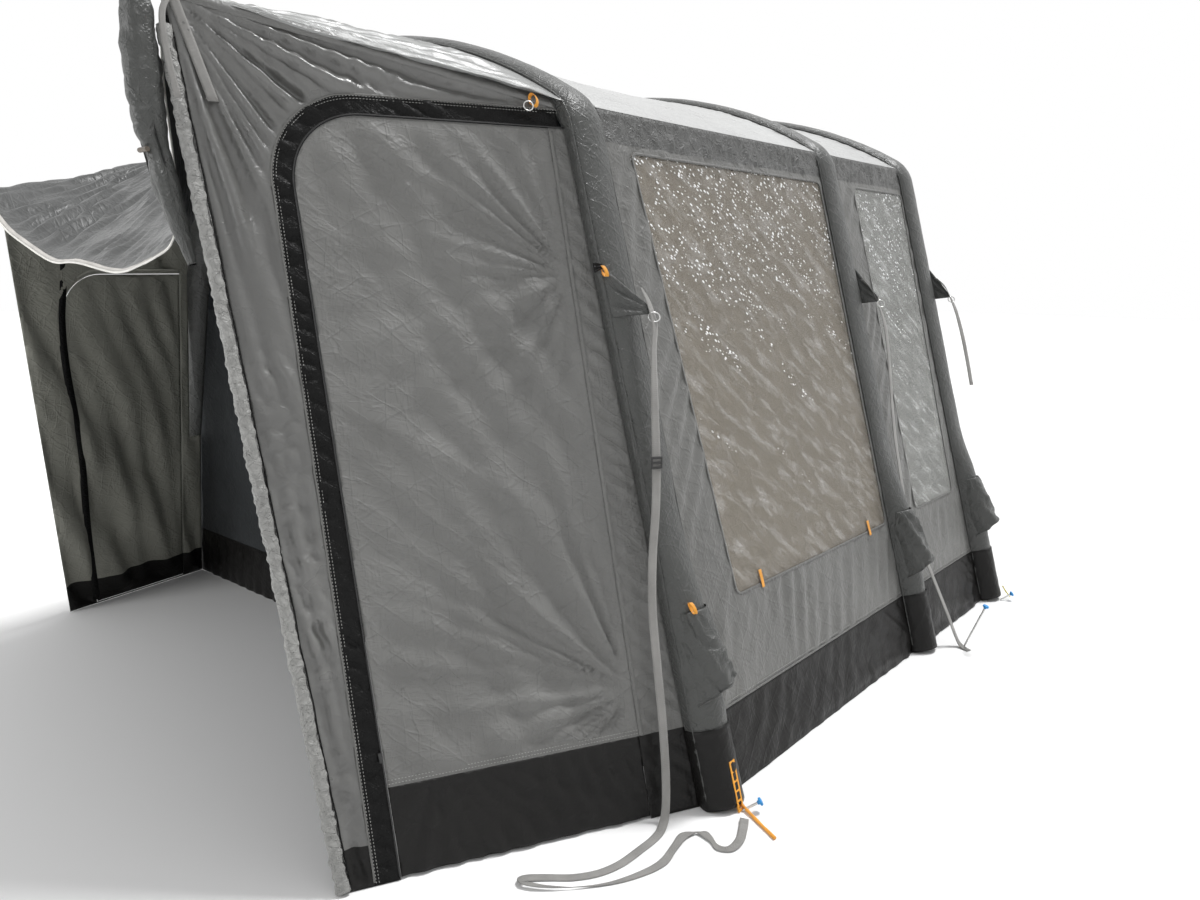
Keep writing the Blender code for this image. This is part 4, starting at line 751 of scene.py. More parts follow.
webbing = webbing_finish("webbing", (0.25, 0.245, 0.235))
orange_webbing = webbing_finish("orange_webbing", (0.83, 0.35, 0.03), 0.6)
binding_tape = webbing_finish("binding_tape", (0.52, 0.50, 0.47))
thread = webbing_finish("thread", (0.36, 0.36, 0.345))
bead_plastic = moulded_finish("bead_plastic", (0.72, 0.71, 0.67), 0.45)
black_plastic = moulded_finish("black_plastic", (0.018, 0.018, 0.018), 0.38)
brown_plastic = moulded_finish("brown_plastic", (0.10, 0.08, 0.06), 0.4)
blue_plastic = moulded_finish("blue_plastic", (0.015, 0.27, 0.66), 0.32)
yellow_cord = webbing_finish("yellow_cord", (0.80, 0.66, 0.05), 0.6)
orange_rubber = moulded_finish("orange_rubber", (0.83, 0.36, 0.03), 0.5)
steel = moulded_finish("steel", (0.58, 0.58, 0.57), 0.28, 1.0)
rained_film = film_finish("rained_film", (0.30, 0.27, 0.225), 0.30, 0.66)
clear_film = film_finish("clear_film", (0.62, 0.63, 0.60), 0.24, 0.70)
print("finishes:", len(bpy.data.materials))

# %% [markdown]
# ## Tapes, stitches and tubes
# Seams are what tells cloth from plastic sheet. A tape is a narrow strip laid on a panel along a flat
# line; stitches are short raised threads on such a line; piping and rings are round tubes. Each of them
# takes the same placing function as its panel, so it lies on the cloth.


# %% Trim helpers
def flat_points(points, spacing):
    """Even points on a flat line, and the direction square to the line at each."""
    line = evenly([Vector((point[0], point[1], 0)) for point in points], spacing)
    spots = np.array([(point.x, point.y) for point in line])
    runs = np.gradient(spots, axis=0)
    runs /= np.linalg.norm(runs, axis=1)[:, None]
    return spots, np.stack([-runs[:, 1], runs[:, 0]], axis=1), runs


TAPE = 0.8 * MM
STITCH = 0.0045


def tape(name, points, width, place, lift, finish, spacing=0.012, wander_by=0.0):
    """A narrow strip of cloth or webbing that lies on a panel along a flat line."""
    spots, across, _ = flat_points(points, spacing)
    rows = len(spots) - 1
    length = rows * spacing

    def put(u, v):
        step = round(v * rows)
        shift = (u - 0.5) * width + wander_by * wander(step * spacing, 0, 0.06, 7)
        u_flat, v_flat = spots[step] + across[step] * shift
        return place(u_flat, v_flat, lift)

    return grid_cloth(name, 2, rows, put, finish, (), (width, length), declare=False, thickness=TAPE)


def stitches(name, points, place, lift, body="awning", pitch=0.0085):
    """A row of raised stitches along a flat line."""
    spots, across, runs = flat_points(points, pitch)
    bm = bmesh.new()
    for spot, side, run in zip(spots, across, runs):
        middle = place(*spot, lift)
        ahead_spot = place(*(spot + run * STITCH), lift)
        side_spot = place(*(spot + side * STITCH), lift)
        along = (ahead_spot - middle).normalized()
        up = along.cross(side_spot - middle).normalized()
        turn = Matrix((along, up.cross(along), up)).transposed().to_4x4()
        scale = Matrix.Diagonal((STITCH, 0.0013, 0.0009, 1))
        bmesh.ops.create_cube(bm, size=1, matrix=Matrix.Translation(middle) @ turn @ scale, calc_uvs=True)
    bmesh.ops.bevel(
        bm, geom=bm.edges[:], offset=0.0003, segments=1, profile=0.5, affect="EDGES", material=-1
    )
    return add_piece(name, bm, thread, body, thickness=0)


def tube(name, points, radius, finish, body="awning", nodes=(), sides=8, spread=None, slot=None):
    """A round tube with closed ends along a line; spread gives its fatness at each share of its length."""
    rows = len(points) - 1
    bm = unit_grid(sides, rows, (2 * math.pi * radius, line_steps(points)[-1]))
    runs = []
    for index, point in enumerate(points):
        runs.append((points[min(index + 1, rows)] - points[max(index - 1, 0)]).normalized())
    side = runs[0].orthogonal().normalized()
    frames = []
    for run in runs:
        side = (side - run * side.dot(run)).normalized()
        frames.append((side.copy(), run.cross(side)))
    for vert in bm.verts:
        step = round(vert.co.y * rows)
        angle = vert.co.x * 2 * math.pi
        fat = radius * (spread(step / rows, angle) if spread else 1)
        across, other = frames[step]
        vert.co = points[step] + (across * math.cos(angle) + other * math.sin(angle)) * fat
    bmesh.ops.remove_doubles(bm, verts=bm.verts, dist=0.00001)
    bmesh.ops.holes_fill(bm, edges=[edge for edge in bm.edges if edge.is_boundary], sides=0)
    bmesh.ops.recalc_face_normals(bm, faces=bm.faces)
    return add_piece(name, bm, finish, body, nodes, thickness=0, slot=slot)


def spin_round(bm, steps):
    """Spins what is in a mesh once round its upright line."""
    bmesh.ops.spin(
        bm, geom=bm.verts[:] + bm.edges[:], axis=(0, 0, 1), cent=(0, 0, 0), steps=steps,
        angle=2 * math.pi, use_merge=True,
    )


def wire_ring(name, centre, out, radius, wire, squeeze=1.0):
    """A ring of round steel wire round a direction, made by spinning a circle."""
    bm = bmesh.new()
    bmesh.ops.create_circle(bm, segments=12, radius=wire)
    bmesh.ops.rotate(bm, verts=bm.verts, matrix=Matrix.Rotation(math.pi / 2, 3, "X"))
    bmesh.ops.translate(bm, verts=bm.verts, vec=(radius, 0, 0))
    spin_round(bm, 40)
    bmesh.ops.recalc_face_normals(bm, faces=bm.faces)
    bmesh.ops.scale(bm, verts=bm.verts, vec=(1, squeeze, 1))
    turn = Vector(out).to_track_quat("Z", "Y").to_matrix().to_4x4()
    bmesh.ops.transform(bm, verts=bm.verts, matrix=Matrix.Translation(centre) @ turn)
    return add_piece(name, bm, steel, "awning", thickness=0)


def rounded(corners, radius, steps=5):
    """A flat outline with its corners rounded."""
    spots = [Vector((*corner, 0)) for corner in corners]
    points = []
    for index, corner in enumerate(spots):
        after = spots[(index + 1) % len(spots)]
        points += round_corner(spots[index - 1], corner, after, radius, steps)
    return [(point.x, point.y) for point in points]


print("trim helpers are ready")

# %% [markdown]
# ## Storm straps
# Each arch has a webbing strap on its near side. The rear one hangs from its ring and lies in loops on the
# ground, the middle one runs down to its peg, and the front one hangs as a short end. A strap is a flat
# ribbon along a smooth curve; these are the same points as in the model, because the packed
# solids lie there. They come first, since nothing else on the awning can spread out of view.

# %% Storm straps
STRAP_WIDTH = 25 * MM
STRAP_THICKNESS = 1.6 * MM
STRAP_PIECES = 6
# Each row gives a place, as across, on from the rear arch and up, and then the way of the strap's width
REAR_STRAP_ROUTE = (
    (1.2840, 0.0326, 1.4440, -0.45, 0.87),
    (1.310, 0.034, 1.405, -0.2, 1.0),
    (1.340, 0.026, 1.342, 0.0, 1.0),
    (1.352, 0.008, 1.265, 0.0, 1.0),
    (1.382, -0.022, 1.120, 0.35, 1.0),
    (1.412, -0.050, 0.970, 0.6, 1.0),
    (1.437, -0.082, 0.850, 0.6, 1.0),
    (1.452, -0.112, 0.720, 0.5, 1.0),
    (1.470, -0.132, 0.580, 0.5, 1.0),
    (1.497, -0.142, 0.430, 0.5, 1.0),
    (1.526, -0.152, 0.280, 0.5, 1.0),
    (1.552, -0.166, 0.130, 0.5, 1.0),
    (1.567, -0.184, 0.040, 0.6, 1.0),
    (1.580, -0.215, 0.008, 0.9, 0.3),
    (1.590, -0.260, 0.002, 1.0, 0.1),
    (1.592, -0.330, 0.002, 1.0, 0.0),
    (1.590, -0.405, 0.002, 1.0, -0.1),
    (1.572, -0.470, 0.002, 0.8, -0.5),
    (1.535, -0.525, 0.002, 0.7, -0.7),
    (1.490, -0.565, 0.002, 0.7, -0.7),
    (1.455, -0.600, 0.004, 0.7, -0.7),
    (1.450, -0.625, 0.009, 0.9, -0.2),
    (1.470, -0.628, 0.012, 0.6, 0.8),
    (1.510, -0.606, 0.010, 0.5, 0.8),
    (1.565, -0.555, 0.006, 0.7, 0.7),
    (1.620, -0.480, 0.002, 0.8, 0.5),
    (1.655, -0.400, 0.002, 1.0, 0.3),
    (1.668, -0.330, 0.002, 1.0, 0.0),
    (1.655, -0.265, 0.004, 0.9, -0.3),
    (1.645, -0.205, 0.006, 1.0, 0.1),
    (1.668, -0.165, 0.006, 0.6, 0.9),
    (1.705, -0.168, 0.004, -0.3, 1.0),
    (1.738, -0.186, 0.003, -0.5, 0.9),
    (1.768, -0.170, 0.003, -1.0, 0.2),
    (1.768, -0.125, 0.003, -1.0, -0.2),
    (1.748, -0.075, 0.004, -0.9, -0.4),
    (1.728, -0.035, 0.008, -0.9, -0.3),
)
MIDDLE_STRAP_ROUTE = (
    (1.2554, 1.5065, 1.4588, -0.85, 0.50),
    (1.300, 1.530, 1.400, -0.5, 0.8),
    (1.348, 1.546, 1.280, 0.0, 1.0),
    (1.380, 1.549, 1.100, 0.0, 1.0),
    (1.406, 1.549, 0.920, 0.0, 1.0),
    (1.438, 1.548, 0.755, 0.0, 1.0),
    (1.504, 1.548, 0.500, 0.0, 1.0),
    (1.602, 1.548, 0.313, 0.0, 1.0),
    (1.690, 1.556, 0.130, 0.0, 1.0),
    (1.733, 1.566, 0.030, 0.0, 1.0),
    (1.760, 1.560, 0.006, 0.3, 1.0),
    (1.790, 1.548, 0.002, 0.4, 1.0),
)
FRONT_STRAP_ROUTE = (
    (1.2554, 2.2865, 1.4588, -0.85, 0.50),
    (1.300, 2.297, 1.420, -0.5, 0.8),
    (1.340, 2.300, 1.350, 0.0, 1.0),
    (1.366, 2.300, 1.293, 0.2, 1.0),
    (1.400, 2.302, 1.190, 0.3, 1.0),
    (1.430, 2.304, 1.080, 0.3, 1.0),
    (1.456, 2.306, 0.974, 0.3, 1.0),
)


def lay_strap(name, route):
    """A webbing strap along its route."""
    start = Vector((0, REAR, 0))
    points = smooth_line([start + Vector(row[:3]) for row in route], STRAP_PIECES)
    sides = smooth_line([Vector((*row[3:], 0)).normalized() for row in route], STRAP_PIECES)
    rows = len(points) - 1
    length = line_steps(points)[-1]

    def put(u, v):
        step = round(v * rows)
        side = sides[step].normalized()
        return points[step] + side * (u - 0.5) * STRAP_WIDTH

    strap = grid_cloth(
        "webbing_" + name, 4, rows, put, webbing, ["storm_strap_" + name],
        (STRAP_WIDTH, length), declare=False, thickness=STRAP_THICKNESS,
    )
    print(name, "strap:", round(length, 3), "m")
    return strap


lay_strap("rear", REAR_STRAP_ROUTE)
lay_strap("middle", MIDDLE_STRAP_ROUTE)
lay_strap("front", FRONT_STRAP_ROUTE)

# %% [markdown]
# ## Beam sleeves
# Each air beam lies in a cloth sleeve that is sewn between the panels. The sleeve is one strip, wrapped
# into a tube along the arch. Above the valves the walls and the roof pull it nearly flat on its outer
# side, so it shows as a low ridge between two piped seams, and so does the film beam inside it. It gathers
# in short cross wrinkles at the knees, where the straight cut goes round a bend. The feet have a cover of
# black cloth.

# %% Sleeves
SLEEVE_ROW = 15 * MM
SLEEVE_SIDES = 44
KNEE_WRINKLE = 26 * MM
PIPING_RADIUS = 3.2 * MM
FLAT_SHARE = 0.60
FLAT_FROM = 0.50
FLAT_OVER = 0.30
beam_film = moulded_finish("beam_film", (0.52, 0.52, 0.49), 0.35, grain=40.0)
sleeve_line = evenly(arch_line(0, 1.2 * MM), SLEEVE_ROW)
sleeve_length = SLEEVE_ROW * (len(sleeve_line) - 1)
knee_at = (on_side(1, 0, EAVE_HEIGHT) - on_side(1, 0, 0)).length


def arch_frame(step):
    """The way along the arch and the way out of it at a step of its line."""
    before = sleeve_line[max(step - 1, 0)]
    after = sleeve_line[min(step + 1, len(sleeve_line) - 1)]
    run = (after - before).normalized()
    return run, Vector((run.z, 0, -run.x))


def out_share(height, angle=0.0):
    """What is left of the sleeve's outward reach at a height."""
    pulled_flat = FLAT_SHARE * eased((height - FLAT_FROM) / FLAT_OVER)
    return 1 - pulled_flat if math.cos(angle) > 0 else 1


def sleeve_swell(angle, place_along, seed):
    """How far the sleeve stands off its beam."""
    around = angle * SLEEVE_RADIUS
    crease = 1.6 * MM * (1 - packed(around, place_along, 0.07, seed))
    crease += 2.5 * MM * wander(around, place_along, 0.11, seed + 30)
    ridge = 2.6 * MM * math.exp(-(((abs(angle) - math.pi / 2) / math.radians(5)) ** 2))
    from_knee = min(abs(place_along - knee_at), abs(sleeve_length - place_along - knee_at))
    gather = math.exp(-((from_knee / 0.11) ** 2)) * (0.7 - 0.5 * math.cos(angle))
    wrinkle = 2 * math.pi * place_along / KNEE_WRINKLE + 2 * wander(around, 0, 0.05, seed)
    gather *= 0.5 + 0.5 * math.sin(wrinkle)
    return crease + ridge + 2.4 * MM * gather


def make_sleeve(name, seed):
    rows = len(sleeve_line) - 1

    def wrap(step, angle, reach):
        _, out = arch_frame(step)
        centre = sleeve_line[step]
        outward = out * reach * math.cos(angle) * out_share(centre.z, angle)
        spot = centre + outward + Vector((0, ARCH_Y[name] + reach * math.sin(angle), 0))
        spot.z = max(spot.z, GROUND)
        return spot

    def put(u, v):
        step = round(v * rows)
        angle = (u - 0.5) * 2 * math.pi
        reach = SLEEVE_RADIUS - CLOTH / 2 + sleeve_swell(angle, step * SLEEVE_ROW, seed)
        return wrap(step, angle, reach)

    def put_beam(u, v):
        return wrap(round(v * rows), (u - 0.5) * 2 * math.pi, BEAM_RADIUS - 2 * MM)

    around = 2 * math.pi * SLEEVE_RADIUS
    grid_cloth(
        "sleeve_" + name, SLEEVE_SIDES, rows, put, sleeve_cloth,
        ["beam_sleeve_" + name], (around, sleeve_length), closed=True,
    )
    grid_cloth(
        "beam_tube_" + name, 24, rows, put_beam, beam_film, ["air_beam_" + name],
        (around, sleeve_length), closed=True, declare=False,
    )


def make_piping(name):
    """The two piped seams of a sleeve, on its sides."""
    y = ARCH_Y[name]
    for side_name, side in (("van_side", -1), ("front_side", 1)):
        points = []
        for step in range(0, len(sleeve_line), 2):
            run, out = arch_frame(step)
            reach = SLEEVE_RADIUS + PIPING_RADIUS * 0.6
            points.append(sleeve_line[step] + Vector((0, y + side * reach, 0)) + out * 5 * MM)
        points = [point for point in points if point.z > 6 * MM]
        tube(f"piping_{name}_{side_name}", points, PIPING_RADIUS, sleeve_cloth)


def make_sleeve_foot(name, side_name, side, seed):
    """The black cover of a sleeve's foot, as high as the mud bands."""
    y = ARCH_Y[name]
    height = MUD_HEIGHT - 4 * MM

    def put(u, v):
        angle = (u - 0.5) * 2 * math.pi
        up = v * height + GROUND
        reach = SLEEVE_RADIUS + 3.2 * MM + 2.5 * MM * packed(angle * SLEEVE_RADIUS, up, 0.04, seed)
        spot = on_side(side, y, up, reach * math.cos(angle))
        spot += Vector((0, reach * math.sin(angle), 0))
        spot.z = max(GROUND, spot.z)
        return spot

    grid_cloth(
        f"foot_cover_{name}_{side_name}", 40, 20, put, mud_cloth, (),
        (2 * math.pi * SLEEVE_RADIUS, height), closed=True,
    )


for seed, name in enumerate(ARCH_NAMES):
    make_sleeve(name, seed + 1)
    make_piping(name)
    make_sleeve_foot(name, "near", 1, seed + 11)
    make_sleeve_foot(name, "far", -1, seed + 21)

# %% [markdown]
# ## Roof panels
# The roof of each bay is one piece between two sleeves. It is pulled tight along the arches and sags a
# little between them, with fine wrinkles across the pull and short puckers at the seams.

# %% Roof
ROOF_CELL = 17 * MM


def make_roof(name, start, end, seed):
    rear = ARCH_Y[start] + SLEEVE_RADIUS
    front = ARCH_Y[end] - SLEEVE_RADIUS
    half = (ROOF_HALF_ANGLE - 1.5 * MM / ROOF_RADIUS) * ROOF_RADIUS
    outline = [(-half, rear), (half, rear), (half, front), (-half, front)]

    def place(u, v, out):
        return on_roof(u / ROOF_RADIUS, v, out)

    def folds(u, v):
        share = (v - rear) / (front - rear)
        sag = -0.018 * 4 * share * (1 - share)
        from_seam = min(v - rear, front - v)
        pucker = math.exp(-from_seam / 0.07) * waves(u, v, 90, 0.045, seed) * 3 * MM
        cross = waves(u, v, 86, 0.028, seed + 2) * 1.0 * MM
        cross += waves(u, v, 72, 0.09, seed + 5) * 2.2 * MM
        return sag + pucker + cross + 1.5 * MM * packed(u, v, 0.16, seed)

    panel(
        "roof_" + name, outline, place, folds, roof_cloth, ["roof_panel_" + name],
        fade=0.012, cell=ROOF_CELL,
    )


make_roof("long", "rear", "middle", 31)
make_roof("short", "middle", "front", 37)

# %% [markdown]
# ## Side walls, windows and mud bands
# A side wall is a frame of grey cloth round a clear window. The cloth below the window is fuller than the
# strip it is sewn to, so it falls in upright pleats; the strip above the window is a darker cloth, crushed
# by the roof's seam. The window film is welded in behind the frame. On the near side a black mud band is
# sewn under the wall, and on the far side the wall's own foot is of the same black cloth.

# %% Side walls
LONG_MARGINS = (0.19, 0.285, 0.085, 0.085)
SHORT_MARGINS = (0.22, 0.22, 0.083, 0.15)
FILM_LAP = 9 * MM
HEM = 9 * MM


def window_corners(start, end, margins, grow=0.0):
    """A window's corners; the margins are from the arches to its head and sill, rear and front."""
    rear_head, rear_sill, front_head, front_sill = margins
    return (
        (ARCH_Y[start] + rear_sill - grow, WINDOW_SILL - grow),
        (ARCH_Y[end] - front_sill + grow, WINDOW_SILL - grow),
        (ARCH_Y[end] - front_head + grow, WINDOW_HEAD + grow),
        (ARCH_Y[start] + rear_head - grow, WINDOW_HEAD + grow),
    )


def make_side(side_name, side, bay, start, end, margins, seed):
    near = side_name == "near"
    rear = ARCH_Y[start] + SLEEVE_RADIUS
    front = ARCH_Y[end] - SLEEVE_RADIUS
    foot = MUD_HEIGHT if near else GROUND
    head = EAVE_HEIGHT - 1.5 * MM
    outline = [(rear, foot), (front, foot), (front, head), (rear, head)]
    bands = [(WINDOW_HEAD + 26 * MM, EAVE_HEIGHT, header_cloth)]
    if not near:
        bands.append((0, MUD_HEIGHT, mud_cloth))
    hole = rounded(window_corners(start, end, margins), 25 * MM)

    def place(u, v, out):
        return on_side(side, u, v, out)

    def folds(u, v):
        low = eased((WINDOW_SILL + 0.02 - v) / 0.1)
        high = eased((v - WINDOW_HEAD) / 0.03)
        pleats = waves(u, v, 74, 0.09, seed) * 5 * MM
        pleats += waves(u, v, 62, 0.04, seed + 3) * 1.3 * MM
        crushed = waves(u, v, 75, 0.03, seed + 5) * 4 * MM
        crushed += 9 * MM * creased(u, v, 0.045, seed + 1)
        slack = waves(u, v, 55, 0.07, seed + 8) * 4.5 * MM
        creases = 3 * MM * creased(u, v, 0.1, seed + 2)
        return low * pleats + high * crushed + (1 - low) * (1 - high) * slack + creases

    panel(
        f"wall_{side_name}_{bay}", outline, place, folds, wall_cloth,
        [f"side_wall_{side_name}_{bay}"], holes=[hole], fade=0.018, cell=0.012 if near else 0.018,
        bands=bands,
    )

    film_outline = rounded(window_corners(start, end, margins, FILM_LAP), 25 * MM)

    def film_place(u, v, out):
        return on_side(side, u, v, out - 1.6 * MM)

    def film_folds(u, v):
        soft = waves(u, v, -42, 0.16, seed + 12) * 1.2 * MM
        soft += wander(u, v, 0.18, seed + 13) * 1.5 * MM
        return -abs(soft) - 0.8 * MM * (1 - packed(u, v, 0.06, seed + 14))

    panel(
        f"film_{side_name}_{bay}", film_outline, film_place, film_folds,
        rained_film if near and bay == "long" else clear_film,
        [f"side_window_{side_name}_{bay}"], fade=0.05, cell=0.016,
    )

    hem_line = rounded(window_corners(start, end, margins, HEM / 2), 25 * MM)
    tape(
        f"window_hem_{side_name}_{bay}", [*hem_line, hem_line[0]], HEM, place, 1.1 * MM, wall_cloth,
        spacing=0.014,
    )
    if not near:
        return

    band = [(rear, GROUND), (front, GROUND), (front, MUD_HEIGHT), (rear, MUD_HEIGHT)]

    def band_folds(u, v):
        to_foot = pulled(u, v, (ARCH_Y[end], 0.02), 9, 0.9, seed + 21) * 16 * MM
        drag = waves(u, v, 60, 0.09, seed + 22) * 2.5 * MM
        return to_foot + drag + 2.5 * MM * creased(u, v, 0.07, seed + 23)

    panel(
        f"mud_{side_name}_{bay}", band, place, band_folds, mud_cloth,
        [f"mud_band_{side_name}_{bay}"], sewn=[[(rear, MUD_HEIGHT), (front, MUD_HEIGHT)]], fade=0.03,
        cell=0.011,
    )
    seam = [(rear, MUD_HEIGHT + 3 * MM), (front, MUD_HEIGHT + 3 * MM)]
    tape(f"mud_seam_{bay}", seam, 7 * MM, place, 1.4 * MM, wall_cloth, wander_by=1 * MM)
    seam = [(rear, MUD_HEIGHT + 15 * MM), (front, MUD_HEIGHT + 15 * MM)]
    stitches(f"mud_stitches_{bay}", seam, place, 1.2 * MM, pitch=0.0075)


for side_name, side in (("near", 1), ("far", -1)):
    make_side(side_name, side, "long", "rear", "middle", LONG_MARGINS, 41 + side)
    make_side(side_name, side, "short", "middle", "front", SHORT_MARGINS, 51 + side)

# %% [markdown]
# ## The blind
# A taupe blind is let down behind the long window. It hangs nearly flat, with soft diagonal drags.

# %% Blind
BLIND_LAP = 35 * MM
BLIND_INWARD = -16 * MM
blind_rear_sill = REAR + LONG_MARGINS[1] - BLIND_LAP
blind_rear_head = REAR + LONG_MARGINS[0] - BLIND_LAP
blind_front = ARCH_Y["middle"] - SLEEVE_CLEAR - 1 * MM
blind_outline = [
    (blind_rear_sill, WINDOW_SILL - BLIND_LAP),
    (blind_front, WINDOW_SILL - BLIND_LAP),
    (blind_front, WINDOW_HEAD + BLIND_LAP),
    (blind_rear_head, WINDOW_HEAD + BLIND_LAP),
]


def blind_place(u, v, out):
    return on_side(1, u, v, BLIND_INWARD + out)


def blind_folds(u, v):
    soft = waves(u, v, -38, 0.19, 63) * 3.5 * MM + wander(u, v, 0.25, 64) * 4 * MM
    crumple = eased((0.78 - v) / 0.2) * creased(u, v, 0.07, 65) * 6 * MM
    return min(0.008, soft + crumple)


panel(
    "blind", blind_outline, blind_place, blind_folds, blind_cloth,
    ["window_blind_near_long"], fade=0.03, cell=0.016,
)

# %% [markdown]
# ## The near tunnel wall
# This wall holds the D-shaped door. From the leg towards the van come a strip that the door folds along,
# the door itself, a black band with the zip in it, and the wall's frame, which ends in a ruched pad. The
# wall hangs from one held corner, so long folds run down from there and a fan of sharper ones runs to the
# eave. The door has the net of creases of its packing, and the seams show as dotted lines.

# %% Near tunnel wall
FRAME_KNEE = SLEEVE_CLEAR + 16 * MM
ROOF_SEAM = 8 * MM
BAND_FLARE = 12 * MM


def hinge_distance(height):
    return HINGE_FOOT + (HINGE_HEAD - HINGE_FOOT) * height / DOOR_TOP


def door_edge_distance(height):
    return DOOR_FOOT + (DOOR_SHOULDER - DOOR_FOOT) * height / (DOOR_TOP - DOOR_RADIUS)


def near_door_edge(grow, low=0.0, flare=0.0):
    """The door's D-shaped edge, from its foot up and over to its head, as distance and height."""
    centre = (DOOR_SHOULDER - DOOR_RADIUS, DOOR_TOP - DOOR_RADIUS)
    return [(door_edge_distance(low) + grow + flare, low), *quarter(centre, DOOR_RADIUS + grow, 14)]


HELD = (TUNNEL_LENGTH, HELD_CORNER_HEIGHT)


def frame_folds(u, v):
    """Folds of the wall's frame: long ones from the held corner, and crumples low down."""
    fan = pulled(u, v, HELD, 13, 1.3, 71) * 48 * MM
    sharp = pulled(u, v, (0.06, EAVE_HEIGHT), 16, 0.45, 72) * 26 * MM
    low = eased((1.45 - v) / 0.5)
    crumple = creased(u, v, 0.055, 73) * (1 + 13 * low) * MM
    long = waves(u, v, 84, 0.05, 74) * (4 + 7 * low) * MM
    return fan + sharp + crumple + long


def make_near_frame():
    low = GROUND
    edge = near_door_edge(ZIP_BAND, low, flare=BAND_FLARE)
    outline = [
        (TUNNEL_LENGTH, low),
        (TUNNEL_LENGTH, HELD_CORNER_HEIGHT - ROOF_SEAM),
        (FRAME_KNEE, EAVE_HEIGHT - ROOF_SEAM),
        (FRAME_KNEE, DOOR_TOP + ZIP_BAND),
        *reversed(edge),
    ]
    panel(
        "tunnel_frame", outline, near_tunnel, frame_folds, frame_cloth, ["tunnel_wall_near"],
        fade=0.03, cell=0.008, bands=[(0, 0.10, mud_cloth)],
    )


def make_zip_band():
    low = GROUND
    band = near_door_edge(ZIP_BAND, low, flare=BAND_FLARE)
    inner = near_door_edge(1 * MM, low)
    outline = band + [(FRAME_KNEE, DOOR_TOP + ZIP_BAND), (FRAME_KNEE, DOOR_TOP + 1 * MM)]
    outline += list(reversed(inner))

    def folds(u, v):
        drag = waves(u, v, 20, 0.05, 76) * 5 * MM
        return drag + (packed(u, v, 0.035, 77) - 0.4) * 7 * MM

    panel(
        "zip_band", outline, near_tunnel, folds, zip_cloth, ["near_door_zip_band"],
        fade=0.015, cell=0.008,
    )
    for name, grow in (("outer", ZIP_BAND - 4 * MM), ("inner", ZIP_BAND - 11 * MM)):
        line = near_door_edge(grow, 0.01, flare=BAND_FLARE) + [(FRAME_KNEE, DOOR_TOP + grow)]
        stitches(f"band_stitches_{name}", line, near_tunnel, 1.6 * MM)
    edge = near_door_edge(ZIP_BAND, 0.01, flare=BAND_FLARE) + [(FRAME_KNEE, DOOR_TOP + ZIP_BAND)]
    tape("band_edge", edge, 5 * MM, near_tunnel, 2 * MM, wall_cloth, wander_by=1.5 * MM)
    coil = near_door_edge(1.5 * MM, 0.01) + [(SLEEVE_CLEAR, DOOR_TOP + 1.5 * MM)]
    points = [near_tunnel(*spot, 1 * MM) for spot in coil]
    tube("near_zip_coil", evenly(points, 0.012), 2.2 * MM, black_plastic)


def door_folds(u, v):
    """The door's packing creases, its long ridges, and the pull of its two loops."""
    squares = creased(u, v, 0.21, 81) * 7 * MM
    small = creased(u, v, 0.08, 82) * 2.2 * MM
    loops = pulled(u, v, (hinge_distance(1.48), 1.48), 9, 0.4, 83) * 26 * MM
    loops += pulled(u, v, (hinge_distance(0.35), 0.35), 11, 0.6, 84) * 30 * MM
    ridge = -0.55 * (u - 0.5) + 0.84 * (v - 0.95)
    ridge = 7 * MM * math.exp(-((ridge / 0.03) ** 2)) * (1 - abs(ridge) / 0.2)
    slack = wander(u, v, 0.5, 85) * 9 * MM + waves(u, v, 62, 0.16, 86) * 6 * MM
    return squares + small + loops + ridge + slack


def make_near_door():
    low = MUD_HEIGHT
    head = DOOR_TOP - SEAM_GAP
    outline = near_door_edge(-SEAM_GAP, low)
    outline += [(hinge_distance(head) + HINGE_PLAY, head), (hinge_distance(low) + HINGE_PLAY, low)]
    panel(
        "near_door", outline, near_tunnel, door_folds, door_cloth, ["near_tunnel_door"],
        body="near_door", fade=0.05, cell=0.0095,
    )
    band = [
        (hinge_distance(DOOR_LIFT) + HINGE_PLAY, DOOR_LIFT),
        (door_edge_distance(DOOR_LIFT) - SEAM_GAP, DOOR_LIFT),
        (door_edge_distance(MUD_HEIGHT) - SEAM_GAP, MUD_HEIGHT),
        (hinge_distance(MUD_HEIGHT) + HINGE_PLAY, MUD_HEIGHT),
    ]

    def band_folds(u, v):
        fan = pulled(u, v, (0.75, 0.3), 9, 0.5, 88) * 13 * MM
        return fan + waves(u, v, 70, 0.06, 89) * 4 * MM + creased(u, v, 0.06, 90) * 4 * MM

    panel(
        "near_door_mud", band, near_tunnel, band_folds, mud_cloth, ["near_door_mud_band"],
        body="near_door", sewn=[band[2:]], fade=0.03, cell=0.0095,
    )
    for name, height in (("low", 8 * MM), ("high", 17 * MM)):
        level = MUD_HEIGHT + height
        line = [(hinge_distance(level) + 5 * MM, level), (door_edge_distance(level) - 6 * MM, level)]
        stitches(f"door_stitches_{name}", line, near_tunnel, 1.5 * MM, "near_door")


